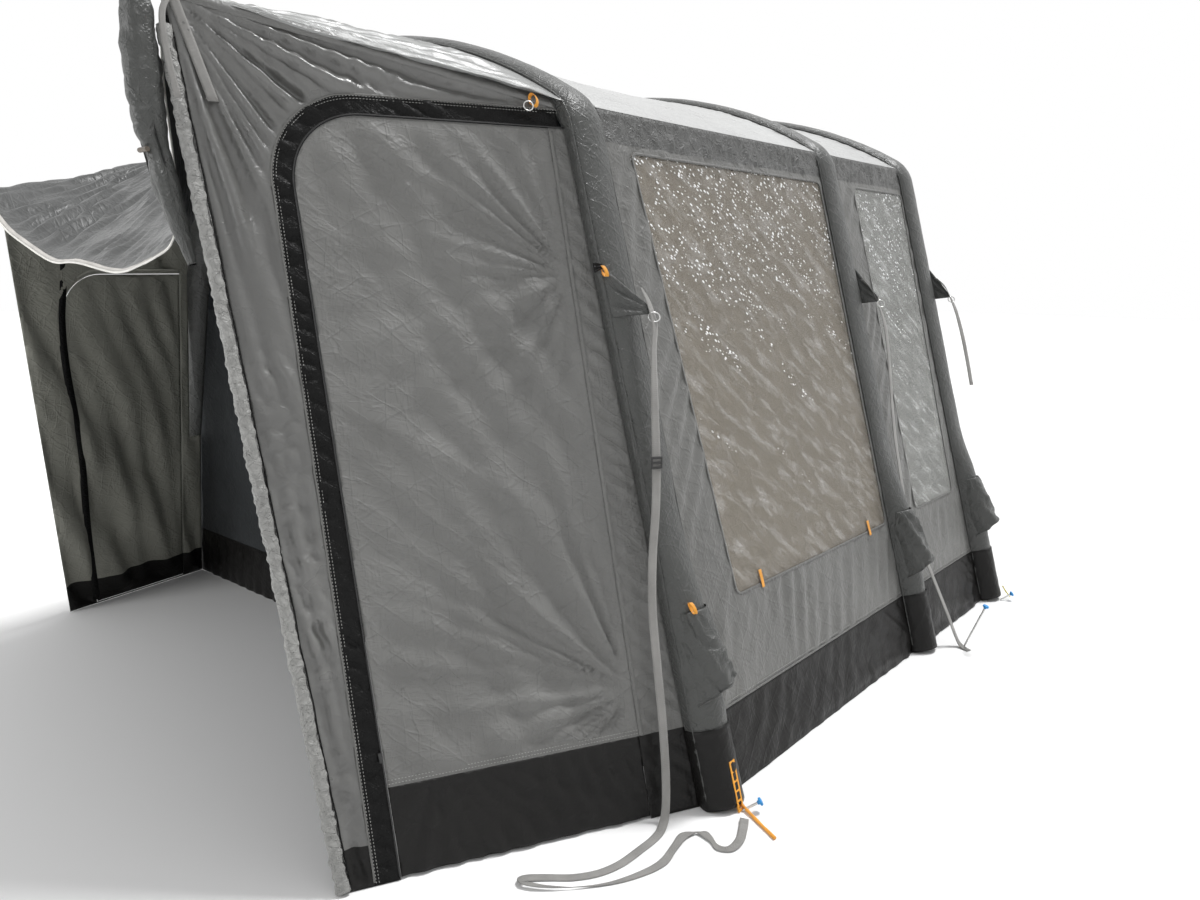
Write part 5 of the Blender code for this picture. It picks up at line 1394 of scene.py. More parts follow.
def make_hinge_strip():
    strip = [(SLEEVE_CLEAR, GROUND), (hinge_distance(0) - SEAM_PLAY, GROUND)]
    strip += [(hinge_distance(DOOR_TOP) - SEAM_PLAY, DOOR_TOP), (SLEEVE_CLEAR, DOOR_TOP)]

    def folds(u, v):
        drags = waves(u, v, 35, 0.05, 92) * 3.5 * MM
        return drags + creased(u, v, 0.05, 93) * 4 * MM

    panel(
        "hinge_strip", strip, near_tunnel, folds, door_cloth, ["near_hinge_strip"], fade=0.02, cell=0.009,
        bands=[(0, MUD_HEIGHT, mud_cloth)], slot="wall_cloth",
    )
    line = [(hinge_distance(height) - 7.5 * MM, height) for height in (MUD_HEIGHT, DOOR_TOP - 0.01)]
    tape("hinge_seam", line, 12 * MM, near_tunnel, 1.4 * MM, door_cloth, wander_by=1 * MM)


make_near_frame()
make_zip_band()
make_near_door()
make_hinge_strip()

# %% [markdown]
# ## The padded edge
# The edge that lies against the van is a sleeve of silvery cloth round a strip of foam, gathered on its
# seam so that it is ruched all the way down. It is a tube whose fatness ripples, with a dark seam along it.

# %% Edge pad
PAD_RADIUS = 15 * MM
PAD_DISTANCE = TUNNEL_LENGTH + PAD_RADIUS + SEAM_PLAY
pad_low = PAD_RADIUS * math.sin(LEAN_ANGLE) + 2 * MM
pad_high = HELD_CORNER_HEIGHT - ROOF_SEAM - 80 * MM
pad_line = evenly([near_tunnel(PAD_DISTANCE, pad_low), near_tunnel(PAD_DISTANCE, pad_high)], 5 * MM)


def pad_spread(share, angle):
    place_along = share * (pad_high - pad_low)
    ruche = wander(place_along, angle * 0.012, 0.014, 95)
    lump = wander(math.cos(angle) + place_along / 0.06, math.sin(angle), 1.0, 96)
    return 1.12 + 0.30 * ruche + 0.24 * lump


pad = tube(
    "edge_pad", pad_line, PAD_RADIUS, pad_cloth, nodes=["tunnel_edge_pad"], sides=28,
    spread=pad_spread,
)
seam_line = [
    near_tunnel(TUNNEL_LENGTH - 4 * MM + 3 * MM * wander(height, 0, 0.07, 97), height, 6 * MM)
    for height in np.arange(pad_low + 0.01, pad_high - 0.01, 0.012)
]
tube("edge_pad_seam", seam_line, 2 * MM, zip_cloth)
print("edge pad:", round(pad_high - pad_low, 3), "m")

# %% [markdown]
# ## The tunnel roof
# The roof of the tunnel fans out from the held corner and hangs from there in one long swag to the far
# corner. Its edge carries a bead that would slide into the van's rail, sewn into a pale tape. The sheet
# is a grid laid between the rear arch and that edge, with the same big folds as the model's and finer
# ones that run with them.

# %% Tunnel roof
FAN_SHARE = 0.40
KADOR_RADIUS = 3 * MM
FAN_FOLDS = 5
FAN_FOLD_DEPTH = 9 * MM
DRAPE_FOLDS = 4
DRAPE_FOLD_DEPTH = 22 * MM
DRAPE_SAG = 45 * MM
# The bead's route, as shares: how far across from the held corner to the far one, how far down, how far out
KADOR_ROUTE_SHARES = (
    (0.004, 0.000, 1.000),
    (0.006, 0.105, 1.005),
    (0.004, 0.265, 1.010),
    (-0.002, 0.440, 1.010),
    (-0.002, 0.620, 1.010),
    (0.020, 0.745, 1.010),
    (0.075, 0.800, 1.010),
    (0.150, 0.824, 1.005),
    (0.300, 0.830, 1.000),
    (0.450, 0.822, 0.995),
    (0.620, 0.785, 0.985),
    (0.800, 0.700, 0.980),
    (0.930, 0.580, 0.975),
    (1.000, 0.490, 0.974),
)
held_spot = near_tunnel(TUNNEL_LENGTH, HELD_CORNER_HEIGHT)
edge_slope = (FAR_CORNER_REACH - FAR_EDGE_FOOT) / FAR_CORNER_HEIGHT
far_spot = far_tunnel(FAR_EDGE_FOOT + edge_slope * FAR_CORNER_HEIGHT, FAR_CORNER_HEIGHT)
fall = (held_spot.z - far_spot.z) / KADOR_ROUTE_SHARES[-1][1]
kador = smooth_line(
    [
        Vector((held_spot.x + (far_spot.x - held_spot.x) * across, REAR - TUNNEL_DEPTH * out,
                held_spot.z - fall * down))
        for across, down, out in KADOR_ROUTE_SHARES
    ],
    4,
)
kador_steps = line_steps(kador)
kador_table = np.array([tuple(point) for point in kador])


def along_kador(share):
    place_along = share * kador_steps[-1]
    return Vector([np.interp(place_along, kador_steps, kador_table[:, axis]) for axis in range(3)])


def tunnel_roof_point(across, out, fine=1.0):
    """A place on the tunnel roof: across runs from its near to its far side, out from arch to van."""
    reach = ROOF_HALF_ANGLE - 3 * MM / ROOF_RADIUS
    arch = on_roof(reach * (1 - 2 * across), REAR - SLEEVE_CLEAR - 0.5 * MM)
    if across < FAN_SHARE:
        share = across / FAN_SHARE
        edge = kador[0].lerp(kador[1], share)
        fold = FAN_FOLD_DEPTH * math.sin(FAN_FOLDS * 2 * math.pi * share) * math.sin(math.pi * share)
        spot = arch.lerp(edge, out) + Vector((0, 0, fold * math.sin(math.pi * out) * (1 - out)))
    else:
        share = (across - FAN_SHARE) / (1 - FAN_SHARE)
        first = 1 / (4 * (len(KADOR_ROUTE_SHARES) - 1))
        edge = along_kador(first + (1 - first) * share)
        fold = DRAPE_FOLD_DEPTH * math.sin(DRAPE_FOLDS * 2 * math.pi * share) * math.sin(math.pi * share)
        sag = DRAPE_SAG * math.sin(math.pi * share) * math.sin(math.pi * out)
        swing = Vector((0, -fold / 2, fold)) * out * (1 - out / 2)
        spot = arch.lerp(edge, out) + swing - Vector((0, 0, sag))
    u = across * 2.4
    v = out
    ripple = waves(u, v, 88, 0.085, 101) * 15 * MM
    ripple += waves(u, v, 82, 0.033, 102) * 5 * MM + creased(u, v, 0.1, 103) * 3 * MM
    hold = eased(out / 0.12) * eased((1 - out) / 0.1)
    return spot + Vector((0, -0.4, 0.9)) * ripple * hold * fine


ROOF_SEAM_WIDTH = 26 * MM
roof_seam = [
    (FRAME_KNEE, EAVE_HEIGHT - ROOF_SEAM / 2),
    (TUNNEL_LENGTH - 4 * MM, HELD_CORNER_HEIGHT - ROOF_SEAM / 2),
]
tape(
    "tunnel_roof_seam", roof_seam, ROOF_SEAM_WIDTH, near_tunnel, 1.5 * MM, frame_cloth,
    wander_by=2 * MM,
)
COLUMNS = 60
ROWS = 20
roof_wide = line_steps([tunnel_roof_point(column / COLUMNS, 0) for column in range(COLUMNS + 1)])[-1]
roof_deep = max(
    line_steps([tunnel_roof_point(across, row / ROWS, 0) for row in range(ROWS + 1)])[-1]
    for across in (0.0, 0.3, 0.5, 0.8, 1.0)
)
for column in range(COLUMNS):
    for row in range(ROWS):
        across, out = column / COLUMNS, row / ROWS
        corner = tunnel_roof_point(across, out, 0)
        beside = tunnel_roof_point(across + 1 / COLUMNS, out, 0) - corner
        beyond = tunnel_roof_point(across, out + 1 / ROWS, 0) - corner
tunnel_roof = grid_cloth(
    "roof_tunnel", 230, 84, tunnel_roof_point, tunnel_roof_cloth, ["tunnel_roof"],
    (roof_wide, roof_deep),
)
# The fan's faces take a paler copy of the tunnel roof's cloth, which paints the sheen on its folds into its
# colour.
tunnel_roof.data.materials.append(fan_painted_sheen_cloth)
for face in tunnel_roof.data.polygons:
    corner = tunnel_roof.data.uv_layers["UVMap"].data[face.loop_start].uv
    face.material_index = int(corner.x / roof_wide < FAN_SHARE)

bead_points = []
hem_points = []
for step in range(101):
    share = FAN_SHARE + (1 - FAN_SHARE) * step / 100
    edge = tunnel_roof_point(share, 1)
    hem = (edge - tunnel_roof_point(share, 0.97)).normalized()
    bead_points.append(edge + hem * (KADOR_RADIUS + SEAM_PLAY))
    hem_points.append((edge, hem))
tube("kador_rod", bead_points, KADOR_RADIUS, bead_plastic, nodes=["kador_bead"], sides=12)


def hem_place(u, v):
    """The tape that holds the bead, folded over the roof's edge on its outer face."""
    edge, hem = hem_points[round(v * 100)]
    share = FAN_SHARE + (1 - FAN_SHARE) * round(v * 100) / 100
    up = (tunnel_roof_point(min(share + 0.01, 1), 1) - edge).cross(hem).normalized()
    if up.z + abs(up.y) * (-1 if up.y > 0 else 1) < 0:
        up.negate()
    return edge - hem * 15 * MM * u + up * 1.6 * MM


grid_cloth(
    "kador_tape", 2, 100, hem_place, binding_tape, (), (0.015, kador_steps[-1]),
    declare=False, thickness=0.8 * MM,
)

# %% [markdown]
# ## The far tunnel wall
# The far wall is seen from inside, slack and in shade, with soft slanting folds and a black foot. A black
# zip tape wanders down beside its door in a long S, because the cloth hangs loose.

# %% Far tunnel wall
FAR_CLEAR = SLEEVE_CLEAR + 1 * MM


def far_door_outline(shrink, seam):
    low = DOOR_LIFT + shrink
    centre = (FAR_DOOR_SHOULDER - FAR_DOOR_RADIUS, FAR_DOOR_TOP - FAR_DOOR_RADIUS)
    return [
        (FAR_HINGE + seam, low),
        (FAR_DOOR_FOOT - shrink, low),
        *quarter(centre, FAR_DOOR_RADIUS - shrink, 10),
        (FAR_HINGE + seam, FAR_DOOR_TOP - shrink),
    ]


def far_folds(u, v):
    slant = waves(u, v, 58, 0.30, 111) * 20 * MM
    slant += waves(u, v, 74, 0.12, 112) * 8 * MM
    return slant + creased(u, v, 0.09, 113) * 3 * MM


FAR_BANDS = [(0, 0.12, mud_cloth)]
far_top = FAR_CORNER_HEIGHT - ROOF_SEAM
far_outline = [
    (0.004, GROUND),
    (FAR_EDGE_FOOT, GROUND),
    (FAR_EDGE_FOOT + edge_slope * far_top, far_top),
    (FAR_CLEAR, FAR_EAVE_HEIGHT),
    (FAR_CLEAR, 0.70),
    (0.004, 0.70),
]
panel(
    "far_wall", far_outline, far_tunnel, far_folds, inner_cloth, ["tunnel_wall_far"],
    holes=[far_door_outline(0, 0)], fade=0.03, cell=0.012, bands=FAR_BANDS,
)
panel(
    "far_door", far_door_outline(SEAM_GAP, HINGE_PLAY), far_tunnel, far_folds, inner_cloth,
    ["far_tunnel_door"], body="far_door", fade=0.05, cell=0.012, bands=FAR_BANDS,
)
FAR_ZIP_WANDER = 14 * MM
far_zip = []
for height in np.arange(0.02, far_top, 0.02):
    rise = min(1, height / (FAR_DOOR_TOP - FAR_DOOR_RADIUS))
    edge = FAR_DOOR_FOOT + (FAR_DOOR_SHOULDER - FAR_DOOR_FOOT) * rise
    far_zip.append((edge + FAR_ZIP_WANDER * math.sin(height * 7) * rise, height))
far_head = [(distance, height + 11 * MM) for distance, height in far_door_outline(0, 0)[8:]]
for face, lift in (("inside", -3 * MM), ("outside", 3 * MM)):
    tape(f"far_zip_tape_{face}", far_zip, 28 * MM, far_tunnel, lift, zip_cloth, spacing=0.01)
    tape(f"far_head_seam_{face}", far_head, 18 * MM, far_tunnel, lift, inner_cloth)

# %% [markdown]
# ## Front wall and partition
# The two upright walls fill their arches. Each has a sill of black mud cloth and a door above it. The
# front one has two windows, and the partition is paler up to its middle. They hang a little slack, so they
# get soft upright folds and packing creases.

# %% Upright walls
PARTITION_DOOR = (1.43, 1.82, 0.12)
FRONT_DOOR = (0.90, 1.78, 0.20)
FRONT_WINDOW_WIDTH = 0.52
FRONT_WINDOW_INSET = 0.13


def inside_arch(foot):
    line = arch_line(0, -0.06)
    inner = []
    for before, point, after in zip(line, line[1:], line[2:]):
        back = (before - point).normalized()
        onward = (after - point).normalized()
        inward = back + onward
        if inward.length < 1e-6:
            inward = Vector((-point.x, 0, 1.0 - point.z))
        spot = point + inward.normalized() * SLEEVE_CLEAR / math.sin(back.angle(onward) / 2)
        inner.append((spot.x, spot.z))
    x = FOOT_X - LEG_LEAN * foot / EAVE_HEIGHT - SLEEVE_CLEAR / math.cos(LEAN_ANGLE)
    return [(x, foot), *inner, (-x, foot)]


def doorway(width, top, radius, grow, shift=0.0):
    sill = MUD_HEIGHT + SEAM_GAP - grow
    half = width / 2 + grow
    head = top + grow
    corners = [Vector((x, z, 0)) for x, z in ((-half, sill), (half, sill), (half, head), (-half, head))]
    points = corners[:2]
    points += round_corner(*corners[1:], radius, 8)
    points += round_corner(*corners[2:], corners[0], radius, 8)
    return [(point.x + shift, point.y) for point in points]


def upright_place(y, side):
    """A placing function for an upright wall whose outer face looks to side along Y."""

    def place(u, v, out):
        return Vector((u, y + side * out, v))

    return place


def upright_folds(seed):
    def folds(u, v):
        drop = waves(u, v, 88, 0.17, seed) * 5 * MM
        drop += waves(u, v, 60, 0.24, seed + 1) * 4 * MM
        return drop + creased(u, v, 0.15, seed + 2) * 5 * MM + creased(u, v, 0.06, seed + 3) * 2 * MM

    return folds


def make_end_wall(name, y, side, door_size, cloth, seed, holes=(), bands=()):
    place = upright_place(y, side)
    band_top = MUD_HEIGHT - SEAM_GAP
    panel(
        f"{name}_cloth", inside_arch(band_top), place, upright_folds(seed), cloth, [f"{name}_wall"],
        holes=[doorway(*door_size, SEAM_GAP), *holes], fade=0.04, cell=0.018, bands=bands,
    )
    reach = [FOOT_X - LEG_LEAN * height / EAVE_HEIGHT - SLEEVE_CLEAR / math.cos(LEAN_ANGLE)
             for height in (GROUND, band_top)]
    band = [(-reach[0], GROUND), (reach[0], GROUND), (reach[1], band_top), (-reach[1], band_top)]

    def band_folds(u, v):
        return waves(u, v, 86, 0.09, seed + 5) * 5 * MM + creased(u, v, 0.08, seed + 6) * 4 * MM

    panel(
        f"{name}_mud", band, place, band_folds, mud_cloth, [f"{name}_mud_band"],
        sewn=[band[2:]], fade=0.04, cell=0.016,
    )
    door = doorway(*door_size, 0, SEAM_GAP - SEAM_PLAY)
    panel(
        f"{name}_door_cloth", door, place, upright_folds(seed + 9), cloth, [f"{name}_door"],
        body=f"{name}_door", fade=0.05, cell=0.018, bands=bands,
    )
    beside = door_size[0] / 2 + 12 * MM
    above = MUD_HEIGHT + 5 * MM
    zip_line = [(beside, above), *doorway(*door_size, 12 * MM)[1:], (-beside, above)]
    for face, lift in (("outside", 2 * MM), ("inside", -2 * MM)):
        tape(
            f"{name}_zip_tape_{face}", zip_line, 18 * MM, place, lift, zip_cloth,
            wander_by=1.5 * MM,
        )


front_windows = []
for side in (1, -1):
    inner = side * (FRONT_DOOR[0] / 2 + FRONT_WINDOW_INSET)
    outer = side * (FRONT_DOOR[0] / 2 + FRONT_WINDOW_INSET + FRONT_WINDOW_WIDTH)
    lean = side * LEG_LEAN * (WINDOW_HEAD - WINDOW_SILL) / EAVE_HEIGHT
    head = WINDOW_HEAD - FRONT_WINDOW_INSET
    front_windows.append([(inner, WINDOW_SILL), (outer, WINDOW_SILL), (outer - lean, head), (inner, head)])
make_end_wall(
    "front", ARCH_Y["front"], 1, FRONT_DOOR, wall_cloth, 121,
    holes=[rounded(corners, 25 * MM) for corners in front_windows],
)
make_end_wall(
    "partition", REAR, -1, PARTITION_DOOR, partition_cloth, 141,
    bands=[(MUD_HEIGHT, 1.30, partition_foot)],
)
for name, corners in zip(("near", "far"), front_windows):
    middle = Vector((sum(c[0] for c in corners) / 4, sum(c[1] for c in corners) / 4))
    grown = []
    for corner in corners:
        away = (Vector(corner) - middle).normalized()
        grown.append(tuple(Vector(corner) + away * FILM_LAP * 1.3))
    panel(
        f"front_film_{name}", rounded(grown, 25 * MM), upright_place(ARCH_Y["front"] - 1.6 * MM, 1),
        lambda u, v: -abs(wander(u, v, 0.2, 151)) * 3 * MM, clear_film,
        [f"front_window_{name}"], fade=0.05, cell=0.02,
    )
    line = rounded(corners, 25 * MM)
    tape(
        f"front_hem_{name}", [*line, line[0]], HEM, upright_place(ARCH_Y["front"], 1), 1.2 * MM,
        wall_cloth,
    )

# %% [markdown]
# ## Valve hoods
# A hood of sleeve cloth covers each valve. It is sewn to the sleeve along its top and sides and gapes at
# its mouth below. It is a sheet bent into a pouch that grows deeper towards the mouth, and crumpled.

# %% Valve hoods
HOOD_WIDTH = 0.128
HOOD_TOP = 0.545
HOOD_BOTTOM = 0.315
HOOD_DEPTH = 0.122
HOOD_SHIFT = 8 * MM
HOOD_ROWS = 34
HOOD_COLUMNS = 54
HOOD_FLAT = (0.28, 0.26)


def make_hood(name, seed):
    y = ARCH_Y[name]
    drop = HOOD_TOP - HOOD_BOTTOM

    def put(u, v):
        height = HOOD_TOP - drop * v * (1.15 - 0.5 * u)
        angle = math.pi * u
        half = HOOD_WIDTH / 2 * (0.86 + 0.14 * eased(v / 0.3))
        along = -half * math.copysign(abs(math.cos(angle)) ** 0.7, math.cos(angle))
        beside = math.sqrt(max(0.0, 1 - (along / SLEEVE_RADIUS) ** 2)) * SLEEVE_RADIUS + 1.5 * MM
        beside = max(beside, 0.012)
        bulge = (HOOD_DEPTH - SLEEVE_RADIUS) * (0.12 + 0.88 * v**0.8)
        bulge *= math.sin(angle) ** 0.8 * (0.75 + 0.35 * u)
        crease = creased(u * 0.3, v * 0.28, 0.05, seed)
        fold = waves(u * 0.3, v * 0.28, 70, 0.06, seed + 1)
        free = eased(v / 0.12) * eased(math.sin(angle) / 0.35)
        out = beside + bulge + free * (6 * MM * crease + 8 * MM * fold)
        return on_side(1, y + HOOD_SHIFT * v + along, height + free * 6 * MM * crease, out)

    grid_cloth(
        "hood_" + name, HOOD_COLUMNS, HOOD_ROWS, put, sleeve_cloth, ["valve_hood_" + name], HOOD_FLAT,
        body="hood_" + name, thickness=1.4 * MM,
    )
    rim = [put(step / 40, 1.0) for step in range(41)]
    tube(
        f"hood_rim_{name}", rim, 2.6 * MM, sleeve_cloth, body="hood_" + name,
    )


for seed, name in enumerate(ARCH_NAMES):
    make_hood(name, 161 + 5 * seed)

# %% [markdown]
# ## Tabs, rings and loops
# Each strap starts at a ring, which a three-cornered tab of sleeve cloth holds. Orange loops beside the
# door and at the eave are short bands of webbing, bent over; the orange tabs under the long window lie
# flat. At the rear foot, webbing and a tail of it run through the ladder strap.


# %% Tabs and loops
def patch(name, corners, tip, tip_width, finish, crease, slot=None):
    """A tab that runs from a sewn base, given by its two ends, to a narrow tip."""
    left, right_corner = (Vector(corner) for corner in corners)
    tip = Vector(tip)
    across = (right_corner - left).normalized()
    out = looking_out(across.cross(tip - (left + right_corner) / 2).normalized())

    def put(u, v):
        base = left.lerp(right_corner, u)
        end = tip + across * (u - 0.5) * tip_width
        gather = crease * math.sin(5 * math.pi * u) * math.sin(math.pi * min(1, v * 1.2))
        return base.lerp(end, v) + out * gather

    length = (tip - (left + right_corner) / 2).length
    return grid_cloth(
        name, 14, 12, put, finish, (), ((right_corner - left).length, length), declare=False,
        thickness=1.2 * MM, slot=slot,
    )


LOOP_WIDTH = 11 * MM
LOOP_FAT_SHARE = 0.28


def loop_band(name, root, away, width_way, reach):
    """A short band of orange webbing bent into a flat loop that stands away from its root."""
    away = Vector(away).normalized()
    width_way = Vector(width_way).normalized()
    up = away.cross(width_way).normalized()
    root = Vector(root)

    def put(u, v):
        angle = 2 * math.pi * v
        centre = root + away * reach * (0.5 - 0.5 * math.cos(angle))
        return centre + up * reach * LOOP_FAT_SHARE * math.sin(angle) + width_way * (u - 0.5) * LOOP_WIDTH

    return grid_cloth(
        name, 3, 28, put, orange_webbing, (), (LOOP_WIDTH, 2 * reach), declare=False, thickness=1.4 * MM
    )


def world_spot(x, from_rear, z):
    return Vector((x, REAR + from_rear, z))


def box_middle(node):
    low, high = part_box(node)
    return (low + high) / 2


RING_RADIUS = 17 * MM
RING_WIRE = 2.2 * MM
for name, from_rear in (("rear", 0.030), ("middle", 1.525), ("front", 2.297)):
    seam = ARCH_Y[name] + SLEEVE_RADIUS * (-0.95 if name == "rear" else 0.95)
    base = [on_side(1, seam, height, 10 * MM) for height in (1.50, 1.36)]
    tip = world_spot(1.322, from_rear, 1.382)
    patch(f"strap_tab_{name}", base, tip, 20 * MM, sleeve_cloth, crease=4 * MM, slot="webbing")
    hang = tip + Vector((0.012, 0, -0.018))
    wire_ring(f"strap_ring_{name}", hang, (0.75, -0.5, 0.3), RING_RADIUS, RING_WIRE, squeeze=0.8)

for name, from_rear, height, out in (("upper", -0.066, 1.50, 0.012), ("lower", -0.035, 0.57, 0.060)):
    root = on_side(1, REAR + from_rear, height, out)
    hang = on_side(1, 0, height - 0.05, out + 0.02) - on_side(1, 0, height, out)
    loop_band(
        f"door_loop_{name}", root, hang, (0.5, 0.85, 0), 34 * MM,
    )
    if name == "lower":
        continue
    base = [on_side(1, REAR + from_rear - 0.03, height + rise, 8 * MM) for rise in (0.012, -0.018)]
    patch(
        f"door_loop_tab_{name}", base, root + Vector((0.004, 0, 0)), 12 * MM, zip_cloth,
        crease=2 * MM,
    )
for name, from_rear, height in (("rear", 0.423, 0.585), ("front", 1.211, 0.582)):
    base = [on_side(1, REAR + from_rear + shift, height - 0.03, 3 * MM) for shift in (-8 * MM, 8 * MM)]
    tip = on_side(1, REAR + from_rear, height - 0.085, 6 * MM)
    patch(f"window_tab_{name}", base, tip, 14 * MM, orange_webbing, crease=0.5 * MM)
root = near_tunnel(0.15, EAVE_HEIGHT + 0.012, 0.012)
loop_band(
    "eave_loop", root, (0.5, -0.1, -0.7), (0, 0.8, -0.4), 40 * MM,
)
wire_ring(
    "eave_ring", root + Vector((0.02, -0.03, -0.035)), (0.8, -0.5, 0.2), 13 * MM, 1.8 * MM,
)

ladder_middle = box_middle("ladder_strap")
ladder_lean = Vector((-LEG_LEAN / EAVE_HEIGHT, 0, 1)) * 0.065
base = [ladder_middle + ladder_lean + Vector((-5 * MM, shift, 0)) for shift in (-10 * MM, 10 * MM)]
tip = ladder_middle - ladder_lean + Vector((-5 * MM, 0, 0))
patch("ladder_webbing", base, tip, 20 * MM, orange_webbing, crease=0.5 * MM)

FOOT_TAIL_ROUTE = (
    (1.690, 0.012, 0.012),
    (1.712, 0.004, 0.008),
    (1.760, -0.018, 0.005),
    (1.835, -0.054, 0.005),
)
FRONT_GUY_ROUTE = ((1.690, 2.262, 0.060), (1.705, 2.27, 0.034), (1.722, 2.28, 0.010))
foot_tail = smooth_line([world_spot(*spot) for spot in FOOT_TAIL_ROUTE], 8)
tube(
    "foot_tail", foot_tail, 5 * MM, orange_webbing, sides=12,
    spread=lambda share, angle: 0.75 + 0.25 * abs(math.cos(angle + 10 * share)),
)
front_guy = smooth_line([world_spot(*spot) for spot in FRONT_GUY_ROUTE])
tube("front_guy", front_guy, 2.6 * MM, yellow_cord)

# %% [markdown]
# ## The strap's slider
# A black three-bar slider sets the rear strap's length. The model has a flat plate there. The finished
# slider has rounded edges, a middle bar and two slots, cut from one rounded plate.

# %% Strap slider
slider_spot = box_middle("strap_slider")
above_slider, below_slider = REAR_STRAP_ROUTE[5:7]
slider_run = (Vector(below_slider[:3]) - Vector(above_slider[:3])).normalized()
slider_side = Vector((*above_slider[3:], 0)).normalized()
slider_out = looking_out(slider_side.cross(slider_run).normalized())


def make_strap_slider():
    bm = bmesh.new()
    bmesh.ops.create_grid(bm, x_segments=3, y_segments=5, size=0.5)
    bmesh.ops.scale(bm, verts=bm.verts, vec=(33 * MM, 34 * MM, 1))
    slots = []
    for face in bm.faces:
        middle = face.calc_center_median()
        if abs(middle.x) < 1 * MM and 4 * MM < abs(middle.y) < 10 * MM:
            slots.append(face)
    bmesh.ops.delete(bm, geom=slots, context="FACES")
    rails = [vert for vert in bm.verts if 4 * MM < abs(vert.co.x) < 8 * MM]
    bmesh.ops.scale(bm, verts=rails, vec=(2.3, 1, 1))
    bmesh.ops.solidify(bm, geom=bm.faces[:], thickness=3.2 * MM)
    bmesh.ops.translate(bm, verts=bm.verts, vec=(0, 0, 1.6 * MM))
    bmesh.ops.recalc_face_normals(bm, faces=bm.faces)
    bmesh.ops.bevel(
        bm, geom=[edge for edge in bm.edges if edge.calc_face_angle(0) > 1], offset=0.8 * MM, segments=2,
        profile=0.5, affect="EDGES", material=-1,
    )
    turn = Matrix((slider_side, slider_run, slider_out)).transposed().to_4x4()
    bmesh.ops.transform(bm, verts=bm.verts, matrix=Matrix.Translation(slider_spot) @ turn)
    bmesh.ops.recalc_face_normals(bm, faces=bm.faces)
    return add_piece(
        "slider_plate", bm, black_plastic, "awning", ["strap_slider"], thickness=0
    )


make_strap_slider()

# %% [markdown]
# ## The held corner
# The near corner of the tunnel roof hangs from a webbing strap and a ring, above the photograph's frame.
# A flap of the tunnel is rolled up there and held by a toggle. The roll is a soft tube that swells and
# thins along its length, with the spiral of the cloth's edge showing.

# %% Held corner
CORNER_STRAP_INSET = 62 * MM
CORNER_STRAP_DROP = 0.262
CORNER_STRAP_SHARES = ((1.0, -1.0), (0.71, -0.61), (0.42, -0.23), (0.23, 0.04), (0.16, 0.23))
corner_points = []
for inset, rise in CORNER_STRAP_SHARES:
    distance = TUNNEL_LENGTH - inset * CORNER_STRAP_INSET
    corner_points.append(near_tunnel(distance, HELD_CORNER_HEIGHT + rise * CORNER_STRAP_DROP, 3 * MM))
corner_points = smooth_line(corner_points, 8)
corner_along = (near_tunnel(1, 0) - near_tunnel(0, 0)).normalized()


def corner_place(u, v):
    step = round(v * (len(corner_points) - 1))
    return corner_points[step] + corner_along * (u - 0.5) * STRAP_WIDTH


corner_length = line_steps(corner_points)[-1]
grid_cloth(
    "corner_webbing", 4, len(corner_points) - 1, corner_place, webbing, ["corner_strap"],
    (STRAP_WIDTH, corner_length), declare=False, thickness=STRAP_THICKNESS,
)

# Each row gives how far past the tunnel's end, how high and how far out
HANGING_ROUTE = ((-0.02, 2.140, 0.012), (0.012, 2.08, 0.03), (0.020, 1.99, 0.034), (0.016, 1.88, 0.030))
HANGING_WIDTH = 15 * MM
HANGING_LENGTH = 0.27
hanging = smooth_line(
    [near_tunnel(TUNNEL_LENGTH + away, height, out) for away, height, out in HANGING_ROUTE], 8
)


def hanging_place(u, v):
    return hanging[round(v * (len(hanging) - 1))] + corner_along * (u - 0.5) * HANGING_WIDTH


grid_cloth(
    "corner_hanging_strap", 3, len(hanging) - 1, hanging_place, webbing, (),
    (HANGING_WIDTH, HANGING_LENGTH), declare=False, thickness=STRAP_THICKNESS,
)
FLAP_LENGTH = 0.65
FLAP_RADIUS = 46 * MM
FLAP_STAND = 68.4 * MM
FLAP_SWING = 0.132
ROLLED_FLAP_SHARES = (
    (0.00, 0.90, 0.03, 0.48),
    (0.03, 1.00, -0.09, 0.85),
    (0.11, 1.00, -0.31, 1.00),
    (0.21, 1.00, -0.51, 0.87),
    (0.35, 0.93, -0.59, 0.61),
    (0.50, 0.93, -0.69, 0.72),
    (0.76, 0.76, -0.86, 0.52),
    (1.00, 0.61, -1.00, 0.22),
)
flap_knots = [
    held_spot + Vector((across * FLAP_SWING, -out * FLAP_STAND, rise * FLAP_LENGTH))
    for across, out, rise, fat in ROLLED_FLAP_SHARES
]
flap_line = evenly(smooth_line(flap_knots, 8), 7 * MM)
flap_steps = line_steps(flap_knots)
flap_fat = [fat for *_, fat in ROLLED_FLAP_SHARES]


def flap_spread(share, angle):
    fat = np.interp(share * flap_steps[-1], flap_steps, flap_fat)
    spiral = 0.09 * math.sin(3 * angle + 9 * share) + 0.05 * math.sin(5 * angle - 14 * share)
    lump = 0.16 * creased(angle * 0.04, share * 0.65, 0.055, 171)
    flat = 0.68 + 0.32 * abs(math.cos(angle + 0.7))
    return float(fat) * flat * (0.98 + spiral * 0.6 + lump)


flap = tube(
    "rolled_cloth", flap_line, FLAP_RADIUS, sleeve_cloth, nodes=["rolled_flap"], sides=36,
    spread=flap_spread, slot="inner_cloth",
)
print("rolled flap:", FLAP_LENGTH, "m long")

# %% [markdown]
# ## Pegs
# Pegs are steel pins with a moulded blue head. The one that ends the middle strap stands up out of the
# ground, and the others, beside the feet, are pushed nearly all the way in. A pin and its
# head are each a profile that is spun round its own line.

# %% Pegs
PEG_RADIUS = 3.5 * MM
PEG_HEAD_RADIUS = 12 * MM
PEG_HEAD_THICKNESS = 9 * MM


